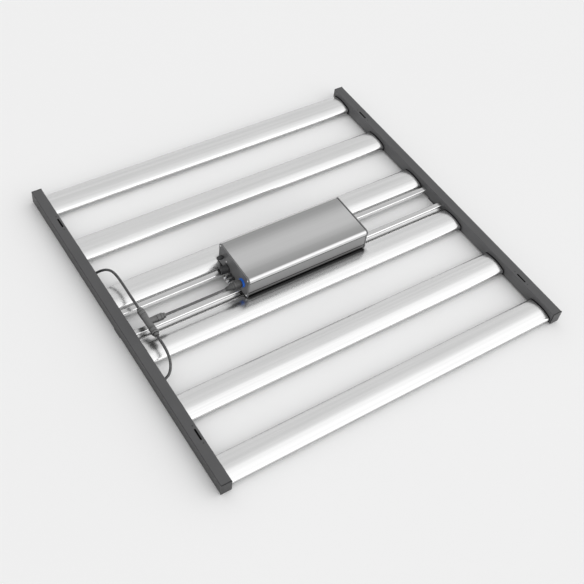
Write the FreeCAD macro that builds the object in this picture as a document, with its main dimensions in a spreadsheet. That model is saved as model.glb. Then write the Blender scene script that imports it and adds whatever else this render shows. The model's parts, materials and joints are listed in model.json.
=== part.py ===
# LED grow light: six domed light bars between two end rails, with a driver on two rods.
# Frame: +X runs along the light bars, +Y along the rails, +Z up.
# The origin is on the ground, below the middle of the frame.
# The dimmer's end of the driver faces -X.
import FreeCAD, Part
import math
import os

import Sketcher

V = FreeCAD.Vector

# name, value in mm (or degrees, or a count), what it is
DIMENSIONS = [
    ("frame_length", 1100, "over the outer faces of the rails, along X"),
    ("frame_width", 1090, "over the rail end caps, along Y"),
    ("rail_width", 30, "rail section, along X"),
    ("rail_height", 40, "rail section, along Z"),
    ("rail_wall", 2, "rail wall"),
    ("rail_edge", 2, "radius of the rail's long edges"),
    ("rail_cap", 3, "thickness of a rail end cap's head"),
    ("rail_plug", 10, "depth of the end cap's plug inside the rail"),
    ("cap_fit", 0.2, "gap between an end cap's plug and the rail's wall"),
    ("pad_height", 4, "rubber pad under each rail"),
    ("pad_length", 34, "rubber pad, along Y"),
    ("slot_spacing", 790, "between the two hanging slots of a rail"),
    ("slot_length", 36, "hanging slot, along Y"),
    ("slot_width", 5, "hanging slot, along X"),
    ("slot_inset", 8.5, "from the rail's inner face to the slot's centre"),
    ("rivet_spacing", 55, "between the two rivets of a hanger plate"),
    ("rivet_radius", 2, "rivet shank"),
    ("rivet_lip", 1.2, "rivet head, round its shank"),
    ("rivet_head", 1, "rivet head, along Z"),
    ("hanger_width", 12, "hanger plate inside the rail, along X"),
    ("hanger_thick", 2.5, "hanger plate"),
    ("hanger_margin", 8, "hanger plate beyond its rivets, along Y"),
    ("window_play", 0.2, "play round the slot in the hanger plate's window, along X"),
    ("press_gap", 0.05, "between a pressed-in shank and its hole"),
    ("bar_pitch", 198.4, "between light bars"),
    ("bar_width", 85, "light bar, along Y"),
    ("bar_base", 14, "height of the bar's lower edge above the ground"),
    ("bar_crest", 30, "height of the bar's crest above the ground"),
    ("crown_radius", 120, "large arc over the bar"),
    ("shoulder_radius", 11, "arcs at the bar's shoulders"),
    ("bar_cap", 4, "thickness of a bar end cap"),
    ("cap_lip", 0.8, "how far a bar end cap stands proud of the bar"),
    ("cap_skirt", 1.4, "how far a bar end cap reaches below the lens"),
    ("hollow_width", 48, "hollow over the board, along Y"),
    ("hollow_floor", 19.4, "height of the hollow's floor above the ground"),
    ("hollow_side", 25.2, "height of the hollow's sides above the ground"),
    ("hollow_radius", 110, "arc over the hollow"),
    ("board_width", 70, "LED board"),
    ("board_thick", 1.6, "LED board"),
    ("recess_width", 76, "recess under the bar for board and lens"),
    ("recess_depth", 3, "recess under the bar"),
    ("lens_drop", 4.6, "how far the lens stands below the bar"),
    ("lens_wall", 1.8, "lens wall"),
    ("lens_edge", 2, "radius of the lens's lower edges"),
    ("lens_gap", 0.4, "between the lens and each side of its recess"),
    ("end_gap", 0.5, "between a board or lens and the bar's end cap"),
    ("screw_offset", 31, "from the bar's centre line to its screws"),
    ("screw_height", 21.5, "height of the bar and rod screws"),
    ("screw_radius", 1.9, "screw shank"),
    ("screw_hole", 2, "screw port and clearance hole"),
    ("screw_length", 20, "rail screw's shank"),
    ("screw_head", 3.42, "radius of a rail screw's head"),
    ("screw_head_rise", 2.8, "rail screw's head, along X"),
    ("rod_inner", 29, "from the centre line to a rod's inner side"),
    ("rod_width", 17.5, "rod box section, along Y"),
    ("rod_top", 29, "height of the rods' tops"),
    ("rod_height", 11, "rod box section, along Z"),
    ("rod_wall", 1.8, "rod wall"),
    ("rod_edge", 3, "radius of the rod's upper edges"),
    ("port_wall", 3.6, "from the middle of a rod's screw port to the hollow beside it"),
    ("flange_width", 7.5, "flange on each rod's outer side"),
    ("flange_gap", 7, "how far the flange stops short of the rails"),
    ("driver_start", -197, "outer face of the left end plate, X"),
    ("driver_length", 397, "driver over its end plates"),
    ("driver_width", 158, "driver over its hood"),
    ("driver_height", 72, "driver, along Z"),
    ("hood_radius", 9, "rounded long edges of the hood"),
    ("plate_thick", 3, "driver end plates"),
    ("gasket_thick", 1.5, "driver gaskets"),
    ("housing_wall", 3, "driver housing"),
    ("side_inset", 1.5, "how far the housing's side lies inside its hood"),
    ("skirt_inset", 3, "how far the foot of the housing's side lies inside it"),
    ("skirt_height", 9, "foot of the housing's side"),
    ("low_groove", 16, "start of the lower groove above the foot"),
    ("low_groove_width", 2.5, "lower groove, along Z"),
    ("low_groove_depth", 2, "lower groove"),
    ("hood_groove", 54.5, "start of the groove under the hood, above the foot"),
    ("hood_groove_width", 3.5, "groove under the hood, along Z"),
    ("hood_drop", 1, "how far the hood lies below the top of the plates"),
    ("boss_width", 12, "bosses for the plate screws, from the hood's side"),
    ("plate_proud", 0.5, "how far an end plate stands out beside the hood"),
    ("plate_waist", 1.8, "how far an end plate's waist draws in"),
    ("plate_screw_side", 6.5, "from the hood's side to a plate screw"),
    ("plate_screw_top", 7, "from the driver's top to a plate screw"),
    ("plate_screw_foot", 6, "from the driver's foot to a plate screw"),
    ("plate_screw_radius", 1.5, "plate screw's shank"),
    ("plate_screw_length", 14, "plate screw's shank"),
    ("plate_head_radius", 2.8, "plate screw's head"),
    ("plate_head_rise", 1.8, "plate screw's head"),
    ("clearance", 0.1, "round a screw in its hole"),
    ("earth_side", 37, "earth screw, Y"),
    ("earth_height", 63, "earth screw, Z"),
    ("earth_radius", 3, "earth screw's head"),
    ("earth_rise", 1.5, "earth screw's head"),
    ("circuit_width", 120, "driver's circuit board, along Y"),
    ("circuit_thick", 1.6, "driver's circuit board"),
    ("circuit_gap", 4, "from the circuit board to each end plate"),
    ("core_start", 20, "transformer core's left face, X"),
    ("core_length", 64, "transformer core, along X"),
    ("core_width", 58, "transformer core, along Y"),
    ("core_height", 44, "transformer core, along Z"),
    ("core_side", -3, "middle of the transformer, Y"),
    ("winding_radius", 21, "transformer winding"),
    ("winding_length", 30, "transformer winding, along X"),
    ("can_radius", 12.5, "capacitor"),
    ("can_height", 40, "capacitor"),
    ("can_start", -60, "first capacitor, X"),
    ("can_pitch", 32, "between capacitors"),
    ("can_side", -20, "capacitors, Y"),
    ("inlet_side", 29, "mains inlet axis, Y"),
    ("inlet_height", 44, "mains inlet axis, Z"),
    ("inlet_radius", 12, "mains inlet barrel"),
    ("inlet_reach", 26, "how far the inlet stands out of the plate"),
    ("inlet_bore", 9.2, "inside of the inlet"),
    ("inlet_depth", 20, "depth of the inlet's bore"),
    ("inlet_nut", 14.4, "radius of the inlet's nut"),
    ("inlet_nut_thick", 3, "inlet's nut"),
    ("inlet_neck", 10, "radius of the inlet inside the plate"),
    ("inlet_neck_depth", 12, "inlet behind the plate's face"),
    ("pin_circle", 4.6, "from the inlet's axis to its pins"),
    ("pin_radius", 1.2, "inlet pin"),
    ("pin_length", 14.5, "inlet pin"),
    ("jack_pitch", 14, "between the two control jacks"),
    ("jack_height", 39, "control jacks, Z"),
    ("jack_side", -1, "middle of the control jacks, Y"),
    ("jack_reach", 24, "how far the control jacks stand out"),
    ("jack_radius", 4, "control jack's barrel"),
    ("jack_collar", 5.6, "radius of a control jack's collar"),
    ("jack_collar_thick", 4, "control jack's collar"),
    ("jack_neck", 3, "radius of a control jack inside the plate"),
    ("jack_neck_depth", 8, "control jack behind the plate's face"),
    ("jack_bore", 2.2, "inside of a control jack"),
    ("jack_depth", 12, "depth of a control jack's bore"),
    ("knob_side", 55, "dimmer axis, Y"),
    ("knob_height", 67, "dimmer axis, Z"),
    ("knob_radius", 6.5, "dimmer knob"),
    ("knob_reach", 19, "how far the knob stands out of the plate"),
    ("knob_gap", 2.4, "between the knob and the plate"),
    ("knob_face", 3, "thickness of the knob in front of its shaft"),
    ("pointer_width", 1.2, "notch in the knob's face"),
    ("pointer_start", 2, "from the knob's axis to its notch"),
    ("pointer_depth", 1, "notch in the knob's face"),
    ("shaft_radius", 3, "dimmer shaft"),
    ("shaft_length", 25, "dimmer shaft"),
    ("shaft_play", 0.05, "between the dimmer's shaft and its bush"),
    ("bush_radius", 3.4, "dimmer's bush, through the plate"),
    ("bush_reach", 2, "how far the dimmer's bush stands out of the plate"),
    ("dimmer_radius", 8, "dimmer's case"),
    ("dimmer_depth", 10, "dimmer's case"),
    ("lead_radius", 3.75, "outer radius of the leads"),
    ("lead_side", -49, "output axis, Y"),
    ("lead_height", 65, "output axis, Z"),
    ("seal_radius", 13.5, "blue seal ring"),
    ("seal_thick", 5, "blue seal ring"),
    ("plug_reach", 53, "from the plate to the end of the output plug"),
    ("socket_radius", 9.5, "output socket and the plug's nose"),
    ("socket_reach", 17, "how far the output socket stands out of the plate"),
    ("socket_length", 25, "output socket"),
    ("ring_radius", 11.8, "output locking ring"),
    ("ring_start", 6, "from the plate to the output locking ring"),
    ("ring_length", 23, "output locking ring"),
    ("nose_length", 12.5, "output plug inside its locking ring"),
    ("grip_radius", 10.8, "output plug's grip"),
    ("grip_length", 5.5, "output plug's grip"),
    ("tail_start", 9, "radius of the output plug's tail at its grip"),
    ("tail_end", 5.6, "radius of the output plug's tail at the lead"),
    ("splitter_place", -483, "middle of the splitter, X"),
    ("splitter_arm", 50, "from the middle of the splitter to an arm's end"),
    ("splitter_radius", 9.4, "splitter body"),
    ("hub_reach", 21, "from the middle of the splitter to its rings' collars"),
    ("nipple_radius", 7.6, "splitter's arms inside their rings"),
    ("nipple_reach", 36, "from the middle of the splitter to the end of an arm"),
    ("sleeve_start", 22, "from the middle of the splitter to a ring"),
    ("sleeve_length", 21, "straight part of a splitter ring"),
    ("sleeve_radius", 10, "splitter ring"),
    ("sleeve_depth", 14.6, "how far a splitter ring goes over its arm"),
    ("mouth_radius", 7.2, "splitter ring at the lead"),
    ("grommet_wall", 2, "rubber between a lead and the rail"),
    ("grommet_lip", 2, "grommet's lip round its neck"),
    ("grommet_thick", 3, "grommet's lip, along X"),
    ("harness_radius", 3, "bundle of wires in the left rail"),
    ("harness_start", 60, "bundle's inner end, Y"),
    ("harness_end", 518, "bundle's outer end, Y"),
    ("running_gap", 0.3, "clearance around the parts that turn"),
]

doc = FreeCAD.newDocument("led_grow_light")
sheet = doc.addObject("Spreadsheet::Sheet", "spec")
for row, (alias, size, meaning) in enumerate(DIMENSIONS, start=1):
    sheet.set("A%d" % row, alias)
    sheet.set("B%d" % row, str(size))
    sheet.set("C%d" % row, meaning)
    sheet.setAlias("B%d" % row, alias)
doc.recompute()

# Rail top and other levels that several pieces share, as expressions on the sheet.
RAIL_TOP = "(spec.pad_height + spec.rail_height)"
INNER_FACE = "(spec.frame_length / 2 - spec.rail_width)"
BAR_END = "(%s - spec.bar_cap)" % INNER_FACE
DRIVER_TOP = "(spec.rod_top + spec.driver_height)"
PLATE_FACE = "spec.driver_start"

BARS = range(1, 7)

nodes = []


def value(expression):
    """The number that an expression on the sheet comes to."""
    if isinstance(expression, (int, float)):
        return float(expression)
    result = sheet.evalExpression(expression)
    return float(getattr(result, "Value", result))


def bind(item, path, expression):
    """Bind a property to an expression, or set it when it is a bare number."""
    if isinstance(expression, (int, float)):
        expression = repr(float(expression))
    item.setExpression(path, expression)


def place(item, x=0, y=0, z=0):
    for axis, expression in (("x", x), ("y", y), ("z", z)):
        if expression != 0:
            bind(item, ".Placement.Base." + axis, expression)
    return item


def node(item, label):
    """Register an object as a finished sub-part under its own name."""
    item.Label = label
    nodes.append(item)
    return item


# --- sketching ---------------------------------------------------------------

def new_body(label):
    body = doc.addObject("PartDesign::Body", label)
    return node(body, label)


def new_sketch(body, role, name):
    sketch = body.newObject("Sketcher::SketchObject", body.Name + "_" + name)
    plane = [f for f in body.Origin.OriginFeatures if f.Role == role][0]
    sketch.AttachmentSupport = [(plane, "")]
    sketch.MapMode = "FlatFace"
    return sketch


def outline(sketch, points):
    """A closed outline through points (u, v) or (u, v, radius, side).

    A point with a radius ends an arc of that radius that starts at the point
    before it; side is +1 when the arc bulges to the right of the way there.
    """
    places = [V(value(p[0]), value(p[1]), 0) for p in points]
    count = len(points)
    edges = []
    for i in range(count):
        start, end, target = places[i], places[(i + 1) % count], points[(i + 1) % count]
        if len(target) > 2:
            radius, side = value(target[2]), target[3]
            chord = end - start
            half = chord.Length / 2
            across = V(chord.y, -chord.x, 0).normalize() * side
            rise = radius - math.sqrt(max(radius * radius - half * half, 0))
            middle = (start + end) / 2 + across * rise
            edges.append(sketch.addGeometry(Part.Arc(start, middle, end), False))
        else:
            edges.append(sketch.addGeometry(Part.LineSegment(start, end), False))
    starts = []
    for i, edge in enumerate(edges):
        geometry = sketch.Geometry[edge]
        forward = (geometry.StartPoint - places[i]).Length < 1e-4
        starts.append(1 if forward else 2)
    for i in range(count):
        following = (i + 1) % count
        end = 3 - starts[i]
        sketch.addConstraint(Sketcher.Constraint(
            "Coincident", edges[i], end, edges[following], starts[following]))
        for kind, size, expression in (("DistanceX", places[i].x, points[i][0]),
                                       ("DistanceY", places[i].y, points[i][1])):
            index = sketch.addConstraint(Sketcher.Constraint(
                kind, -1, 1, edges[i], starts[i], size))
            bind(sketch, "Constraints[%d]" % index, expression)
        target = points[following]
        if len(target) > 2:
            index = sketch.addConstraint(Sketcher.Constraint(
                "Radius", edges[i], value(target[2])))
            bind(sketch, "Constraints[%d]" % index, target[2])


def rectangle(sketch, left, low, right, high):
    outline(sketch, [(left, low), (right, low), (right, high), (left, high)])


def circle(sketch, across, up, radius):
    edge = sketch.addGeometry(
        Part.Circle(V(value(across), value(up), 0), V(0, 0, 1), value(radius)), False)
    for kind, expression in (("DistanceX", across), ("DistanceY", up)):
        index = sketch.addConstraint(Sketcher.Constraint(
            kind, -1, 1, edge, 3, value(expression)))
        bind(sketch, "Constraints[%d]" % index, expression)
    index = sketch.addConstraint(Sketcher.Constraint("Radius", edge, value(radius)))
    bind(sketch, "Constraints[%d]" % index, radius)


def slot(sketch, across, middle, width, length):
    """A round-ended slot along the sketch's second axis; each end is two quarter turns."""
    half = "(%s) / 2" % width
    straight = "((%s) - (%s)) / 2" % (length, width)
    left, right = "(%s) - %s" % (across, half), "(%s) + %s" % (across, half)
    low, high = "(%s) - %s" % (middle, straight), "(%s) + %s" % (middle, straight)
    outline(sketch, [
        (right, low, half, 1), (right, high),
        (across, high + " + " + half, half, 1), (left, high, half, 1),
        (left, low), (across, low + " - " + half, half, 1)])


def pad(body, sketch, length, both=False, back=False):
    feature = body.newObject("PartDesign::Pad", sketch.Name + "_pad")
    feature.Profile = sketch
    feature.Length = value(length)
    bind(feature, "Length", length)
    feature.Midplane = both
    feature.Reversed = back
    sketch.Visibility = False
    return feature


def pocket(body, sketch, through=True, depth=None, back=False):
    feature = body.newObject("PartDesign::Pocket", sketch.Name + "_pocket")
    feature.Profile = sketch
    if through:
        feature.Type = "ThroughAll"
        feature.Midplane = True
    else:
        feature.Length = value(depth)
        bind(feature, "Length", depth)
        feature.Reversed = back
    return feature


# --- primitives --------------------------------------------------------------

def box(x0, y0, z0, x1, y1, z1):
    """A Part box between two corners; each coordinate is an expression."""
    item = doc.addObject("Part::Box", "block")
    for prop, low, high in (("Length", x0, x1), ("Width", y0, y1), ("Height", z0, z1)):
        bind(item, prop, "(%s) - (%s)" % (high, low))
    return place(item, x0, y0, z0)


AXIS_TURN = {
    "x": FreeCAD.Rotation(V(0, 1, 0), 90),
    "-x": FreeCAD.Rotation(V(0, 1, 0), -90),
    "y": FreeCAD.Rotation(V(1, 0, 0), -90),
    "-y": FreeCAD.Rotation(V(1, 0, 0), 90),
    "z": FreeCAD.Rotation(),
    "-z": FreeCAD.Rotation(V(1, 0, 0), 180),
}


def turned(item, axis, x, y, z):
    item.Placement = FreeCAD.Placement(V(0, 0, 0), AXIS_TURN[axis])
    return place(item, x, y, z)


def rod(radius, length, axis, x, y, z):
    item = doc.addObject("Part::Cylinder", "round")
    bind(item, "Radius", radius)
    bind(item, "Height", length)
    return turned(item, axis, x, y, z)


def taper(radius_near, radius_far, length, axis, x, y, z):
    item = doc.addObject("Part::Cone", "taper")
    bind(item, "Radius1", radius_near)
    bind(item, "Radius2", radius_far)
    bind(item, "Height", length)
    return turned(item, axis, x, y, z)


def cut(base, tool):
    item = doc.addObject("Part::Cut", "cut")
    item.Base, item.Tool = base, tool
    return item


def fuse(*parts):
    item = doc.addObject("Part::MultiFuse", "fuse")
    item.Shapes = list(parts)
    return item


def group(*parts):
    item = doc.addObject("Part::Compound", "group")
    item.Links = list(parts)
    return item


# --- rails -------------------------------------------------------------------

# Where the two branch leads enter the left rail, along Y, through a grommet each.
LEAD_ENTRY = {1: 196.5, -1: -204}
GROMMET_NECK = "(spec.lead_radius + spec.grommet_wall)"
RAIL_MIDDLE = "(spec.pad_height + spec.rail_height / 2)"

def rail_profile(sketch, inset, radius):
    """The rail's section seen along Y, with rounded corners, about the rail's own middle."""
    right = "(spec.rail_width / 2 - %s)" % inset
    left = "-" + right
    low, high = "(spec.pad_height + %s)" % inset, "(%s - %s)" % (RAIL_TOP, inset)
    outline(sketch, [
        (left + " + " + radius, low, radius, 1), (right + " - " + radius, low),
        (right, low + " + " + radius, radius, 1), (right, high + " - " + radius),
        (right + " - " + radius, high, radius, 1), (left + " + " + radius, high),
        (left, high + " - " + radius, radius, 1), (left, low + " + " + radius)])


def bar_middle(number):
    return "(%s * spec.bar_pitch)" % (number - 3.5)


def make_rail(label, side):
    """A rail; side is -1 for the left one and +1 for the right one."""
    body = new_body(label)
    section = new_sketch(body, "XZ_Plane", "section")
    rail_profile(section, "0", "spec.rail_edge")
    rail_profile(section, "spec.rail_wall", "(spec.rail_edge / 4)")
    pad(body, section, "spec.frame_width - 2 * spec.rail_cap", both=True)
    middle_x = "%d * (spec.frame_length - spec.rail_width) / 2" % side
    top = new_sketch(body, "XY_Plane", "top_holes")
    across = "%d * (spec.rail_width / 2 - spec.slot_inset)" % -side
    for end in (-1, 1):
        slot(top, across, "%d * spec.slot_spacing / 2" % end, "spec.slot_width", "spec.slot_length")
        for way in (-1, 1):
            circle(top, across, "(%d * spec.slot_spacing + %d * spec.rivet_spacing) / 2" % (end, way),
                   "spec.rivet_radius")
    top.AttachmentOffset = FreeCAD.Placement(V(0, 0, value(RAIL_TOP)), FreeCAD.Rotation())
    bind(top, ".AttachmentOffset.Base.z", RAIL_TOP)
    pocket(body, top, through=False, depth="spec.rail_wall * 2")
    inner = new_sketch(body, "YZ_Plane", "inner_holes")
    for number in BARS:
        for way in (-1, 1):
            circle(inner, "%s + %d * spec.screw_offset" % (bar_middle(number), way),
                   "spec.screw_height", "spec.screw_hole")
    for way in (-1, 1):
        circle(inner, "%d * (spec.rod_inner + spec.rod_width / 2)" % way,
               "spec.rod_top - spec.rod_height / 2", "spec.screw_hole")
        if side < 0:
            circle(inner, LEAD_ENTRY[way], RAIL_MIDDLE, GROMMET_NECK)
    pocket(body, inner, through=False, depth="spec.rail_width", back=side < 0)
    place(body, middle_x)
    return body


left_rail = make_rail("left_rail", -1)
right_rail = make_rail("right_rail", 1)

caps = []
pads = []
plates = []
rivets = []
for side in (-1, 1):
    middle = "%d * (spec.frame_length - spec.rail_width) / 2" % side
    for end in (-1, 1):
        outer = "%d * spec.frame_width / 2" % end
        face = "%d * (spec.frame_width / 2 - spec.rail_cap)" % end
        deep = "%d * (spec.frame_width / 2 - spec.rail_cap - spec.rail_plug)" % end
        low, high = (outer, face) if end < 0 else (face, outer)
        head = box(middle + " - spec.rail_width / 2", low, "spec.pad_height",
                   middle + " + spec.rail_width / 2", high, RAIL_TOP)
        low, high = (face, deep) if end < 0 else (deep, face)
        fit = "(spec.rail_wall + spec.cap_fit)"
        plug = box(middle + " - spec.rail_width / 2 + " + fit, low, "spec.pad_height + " + fit,
                   middle + " + spec.rail_width / 2 - " + fit, high, RAIL_TOP + " - " + fit)
        caps.append(fuse(head, plug))
        slot_y = "%d * spec.slot_spacing / 2" % end
        slot_x = "%d * (%s + spec.slot_inset)" % (side, INNER_FACE)
        roof = RAIL_TOP + " - spec.rail_wall"
        plate = box(slot_x + " - spec.hanger_width / 2",
                    slot_y + " - spec.rivet_spacing / 2 - spec.hanger_margin",
                    roof + " - spec.hanger_thick",
                    slot_x + " + spec.hanger_width / 2",
                    slot_y + " + spec.rivet_spacing / 2 + spec.hanger_margin",
                    roof)
        window = box(slot_x + " - spec.slot_width / 2 - spec.window_play",
                     slot_y + " - spec.slot_length / 2",
                     roof + " - 2 * spec.hanger_thick",
                     slot_x + " + spec.slot_width / 2 + spec.window_play",
                     slot_y + " + spec.slot_length / 2",
                     RAIL_TOP)
        plate = cut(plate, window)
        for way in (-1, 1):
            rivet_y = "%s + %d * spec.rivet_spacing / 2" % (slot_y, way)
            plate = cut(plate, rod("spec.rivet_radius", "4 * spec.hanger_thick", "z", slot_x, rivet_y,
                                   roof + " - 2 * spec.hanger_thick"))
            shank = rod("spec.rivet_radius - spec.press_gap",
                        "spec.rail_wall + spec.hanger_thick + spec.rivet_head / 2", "-z",
                        slot_x, rivet_y, RAIL_TOP)
            head = rod("spec.rivet_radius + spec.rivet_lip", "spec.rivet_head", "-z",
                       slot_x, rivet_y, roof + " - spec.hanger_thick")
            rivets.append(fuse(shank, head))
        plates.append(plate)
    base = box(middle + " - spec.rail_width / 2", "-spec.pad_length / 2", 0,
               middle + " + spec.rail_width / 2", "spec.pad_length / 2", "spec.pad_height")
    pads.append(base)
node(group(*caps), "rail_end_caps")
node(group(*pads), "rail_pads")
node(group(*plates), "hanger_plates")
node(group(*rivets), "hanger_rivets")

# --- light bars --------------------------------------------------------------


def dome(sketch, lip, low):
    """The domed section, looking along the bar; lip makes it that much larger."""
    half = "(spec.bar_width / 2 + %s)" % lip
    crest = "(spec.bar_crest + %s)" % lip
    shoulder = "(spec.shoulder_radius + %s)" % lip
    crown = "(spec.crown_radius + %s)" % lip
    # the crown arc and a shoulder arc meet where both centres are in line
    reach = "((%s - %s) / (%s - %s))" % (half, shoulder, crown, shoulder)
    meet_y = "(%s * %s)" % (crown, reach)
    drop = "(%s - %s * sqrt(1 - %s * %s))" % (crown, crown, reach, reach)
    meet_z = "(%s - %s)" % (crest, drop)
    hip_z = "(%s - %s * sqrt(1 - %s * %s))" % (meet_z, shoulder, reach, reach)
    outline(sketch, [
        ("-" + half, low), (half, low), (half, hip_z),
        (meet_y, meet_z, shoulder, 1), ("-" + meet_y, meet_z, crown, 1),
        ("-" + half, hip_z, shoulder, 1)])


def make_bar(number):
    middle = bar_middle(number)
    name = "bar_%d_" % number
    sink = new_body(name + "heat_sink")
    section = new_sketch(sink, "YZ_Plane", "section")
    dome(section, "0", "spec.bar_base")
    pad(sink, section, "2 * " + BAR_END, both=True)
    ports = new_sketch(sink, "YZ_Plane", "ports")
    rectangle(ports, "-spec.recess_width / 2", "spec.bar_base - 1",
              "spec.recess_width / 2", "spec.bar_base + spec.recess_depth")
    for way in (-1, 1):
        circle(ports, "%d * spec.screw_offset" % way, "spec.screw_height", "spec.screw_hole")
    edge = "spec.hollow_width / 2"
    outline(ports, [("-" + edge, "spec.hollow_floor"), (edge, "spec.hollow_floor"),
                    (edge, "spec.hollow_side"), ("-" + edge, "spec.hollow_side", "spec.hollow_radius", 1)])
    pocket(sink, ports)
    place(sink, 0, middle)

    ends = []
    for side in (-1, 1):
        cap = doc.addObject("PartDesign::Body", name + "cap")
        shape = new_sketch(cap, "YZ_Plane", "section")
        dome(shape, "spec.cap_lip", "spec.bar_base - spec.lens_drop - spec.cap_skirt")
        for way in (-1, 1):
            circle(shape, "%d * spec.screw_offset" % way, "spec.screw_height", "spec.screw_hole")
        pad(cap, shape, "spec.bar_cap")
        start = BAR_END if side > 0 else "-" + INNER_FACE
        ends.append(place(cap, start, middle))
    node(group(*ends), name + "end_caps")

    top = "(spec.bar_base + spec.recess_depth)"
    board = box("-%s + spec.end_gap" % BAR_END, middle + " - spec.board_width / 2",
                top + " - spec.board_thick",
                BAR_END + " - spec.end_gap", middle + " + spec.board_width / 2", top)
    node(board, name + "led_board")

    lens = new_body(name + "lens")
    section = new_sketch(lens, "YZ_Plane", "section")
    half = "(spec.recess_width / 2 - spec.lens_gap)"
    floor = "(spec.bar_base - spec.lens_drop)"
    edge = "(%s - spec.board_thick)" % top
    wall = "spec.lens_wall"
    turn = "spec.lens_edge"
    left, right = "-" + half, half
    outline(section, [
        (left + " + " + turn, floor, turn, 1), (right + " - " + turn, floor),
        (right, floor + " + " + turn, turn, 1),
        (right, edge), (right + " - " + wall, edge), (right + " - " + wall, floor + " + " + wall),
        (left + " + " + wall, floor + " + " + wall), (left + " + " + wall, edge),
        (left, edge), (left, floor + " + " + turn)])
    pad(lens, section, "2 * (%s - spec.end_gap)" % BAR_END, both=True)
    place(lens, 0, middle)


for number in BARS:
    make_bar(number)

# --- rods that carry the driver ----------------------------------------------


def make_rod(label, turn):
    """A rod drawn on the -Y side of the driver, and turned about Z by an angle."""
    body = new_body(label)
    section = new_sketch(body, "YZ_Plane", "section")
    inner, outer = "-spec.rod_inner", "-(spec.rod_inner + spec.rod_width)"
    tip = "-(spec.rod_inner + spec.rod_width + spec.flange_width)"
    low, high = "(spec.rod_top - spec.rod_height)", "spec.rod_top"
    edge = "spec.rod_edge"
    outline(section, [
        (tip, low), (inner, low), (inner, "%s - %s" % (high, edge)),
        ("%s - %s" % (inner, edge), high, edge, 1), ("%s + %s" % (outer, edge), high),
        (outer, "%s - %s" % (high, edge), edge, 1), (outer, low + " + spec.rod_wall"),
        (tip, low + " + spec.rod_wall")])
    # a round screw port in the middle, with a square hollow on each side of it
    middle = "(-spec.rod_inner - spec.rod_width / 2)"
    circle(section, middle, low + " + spec.rod_height / 2", "spec.screw_hole")
    reach = "(spec.rod_width / 2 - spec.rod_wall)"
    floor, ceiling = low + " + spec.rod_wall", high + " - spec.rod_wall"
    rectangle(section, "%s - %s" % (middle, reach), floor, middle + " - spec.port_wall", ceiling)
    rectangle(section, middle + " + spec.port_wall", floor, "%s + %s" % (middle, reach), ceiling)
    pad(body, section, "2 * " + INNER_FACE, both=True)
    notch = new_sketch(body, "XY_Plane", "flange_ends")
    for end in (-1, 1):
        rectangle(notch, "%d * (%s - spec.flange_gap)" % (end, INNER_FACE), tip + " - spec.flange_width",
                  "%d * (%s + spec.flange_gap)" % (end, INNER_FACE), outer)
    pocket(body, notch)
    body.Placement = FreeCAD.Placement(V(0, 0, 0), FreeCAD.Rotation(V(0, 0, 1), turn))


make_rod("front_driver_rod", 0)
make_rod("back_driver_rod", 180)


def rail_screw(side, y, z):
    """A screw from inside a rail, through its inner wall, into a bar or rod."""
    wall = "%d * (%s + spec.rail_wall)" % (side, INNER_FACE)
    inward, outward = ("x", "-x") if side < 0 else ("-x", "x")
    shank = rod("spec.screw_radius", "spec.screw_length", inward, wall, y, z)
    head = rod("spec.screw_head", "spec.screw_head_rise", outward, wall, y, z)
    return fuse(shank, head)


screws = []
for side in (-1, 1):
    for number in BARS:
        for way in (-1, 1):
            screws.append(rail_screw(side, "%s + %d * spec.screw_offset" % (bar_middle(number), way),
                                     "spec.screw_height"))
    for way in (-1, 1):
        screws.append(rail_screw(side, "%d * (spec.rod_inner + spec.rod_width / 2)" % way,
                                 "spec.rod_top - spec.rod_height / 2"))
node(group(*screws), "rail_screws")

# --- driver ------------------------------------------------------------------

HALF = "(spec.driver_width / 2)"
FOOT = "spec.rod_top"
PLATE_BACK = "(%s + spec.plate_thick)" % PLATE_FACE
FAR_FACE = "(spec.driver_start + spec.driver_length)"
FAR_BACK = "(%s - spec.plate_thick)" % FAR_FACE
# Screws through an end plate: (Y, Z) of the right-hand pair, mirrored to the left.
PLATE_SCREWS = [("(%s - spec.plate_screw_side)" % HALF, "(%s - spec.plate_screw_top)" % DRIVER_TOP),
                ("(%s - spec.plate_screw_side)" % HALF, "(%s + spec.plate_screw_foot)" % FOOT)]
PLATE_SCREW_HOLE = "(spec.plate_screw_radius + spec.clearance)"


def mirrored_outline(sketch, right_side):
    """An outline through the given right-hand points, bottom to top, and their mirror image.

    A point may carry a radius: it then ends an arc that bulges outwards.
    """
    points = [tuple(p) + (1,) if len(p) > 2 else tuple(p) for p in right_side]
    mirror = []
    for i in range(len(right_side) - 1, -1, -1):
        y, z = right_side[i][:2]
        arc = right_side[i + 1][2:] + (1,) if i + 1 < len(right_side) and len(right_side[i + 1]) > 2 else ()
        mirror.append(("-(%s)" % y, z) + tuple(arc))
    outline(sketch, points + mirror)


def cavity(sketch):
    """The hollow of the housing; it leaves bosses for the screws in the corners."""
    boss, side = "(%s - spec.boss_width)" % HALF, "(%s - spec.side_inset - spec.housing_wall)" % HALF
    floor, ceiling = FOOT + " + spec.housing_wall", DRIVER_TOP + " - spec.housing_wall - 2"
    mirrored_outline(sketch, [
        (boss, floor), (boss, FOOT + " + 11"), (side, FOOT + " + 15"),
        (side, DRIVER_TOP + " - 18"), (boss, DRIVER_TOP + " - 13"), (boss, ceiling)])


def screw_ports(sketch, radius):
    for y, z in PLATE_SCREWS:
        for way in (-1, 1):
            circle(sketch, "%d * %s" % (way, y), z, radius)


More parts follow.
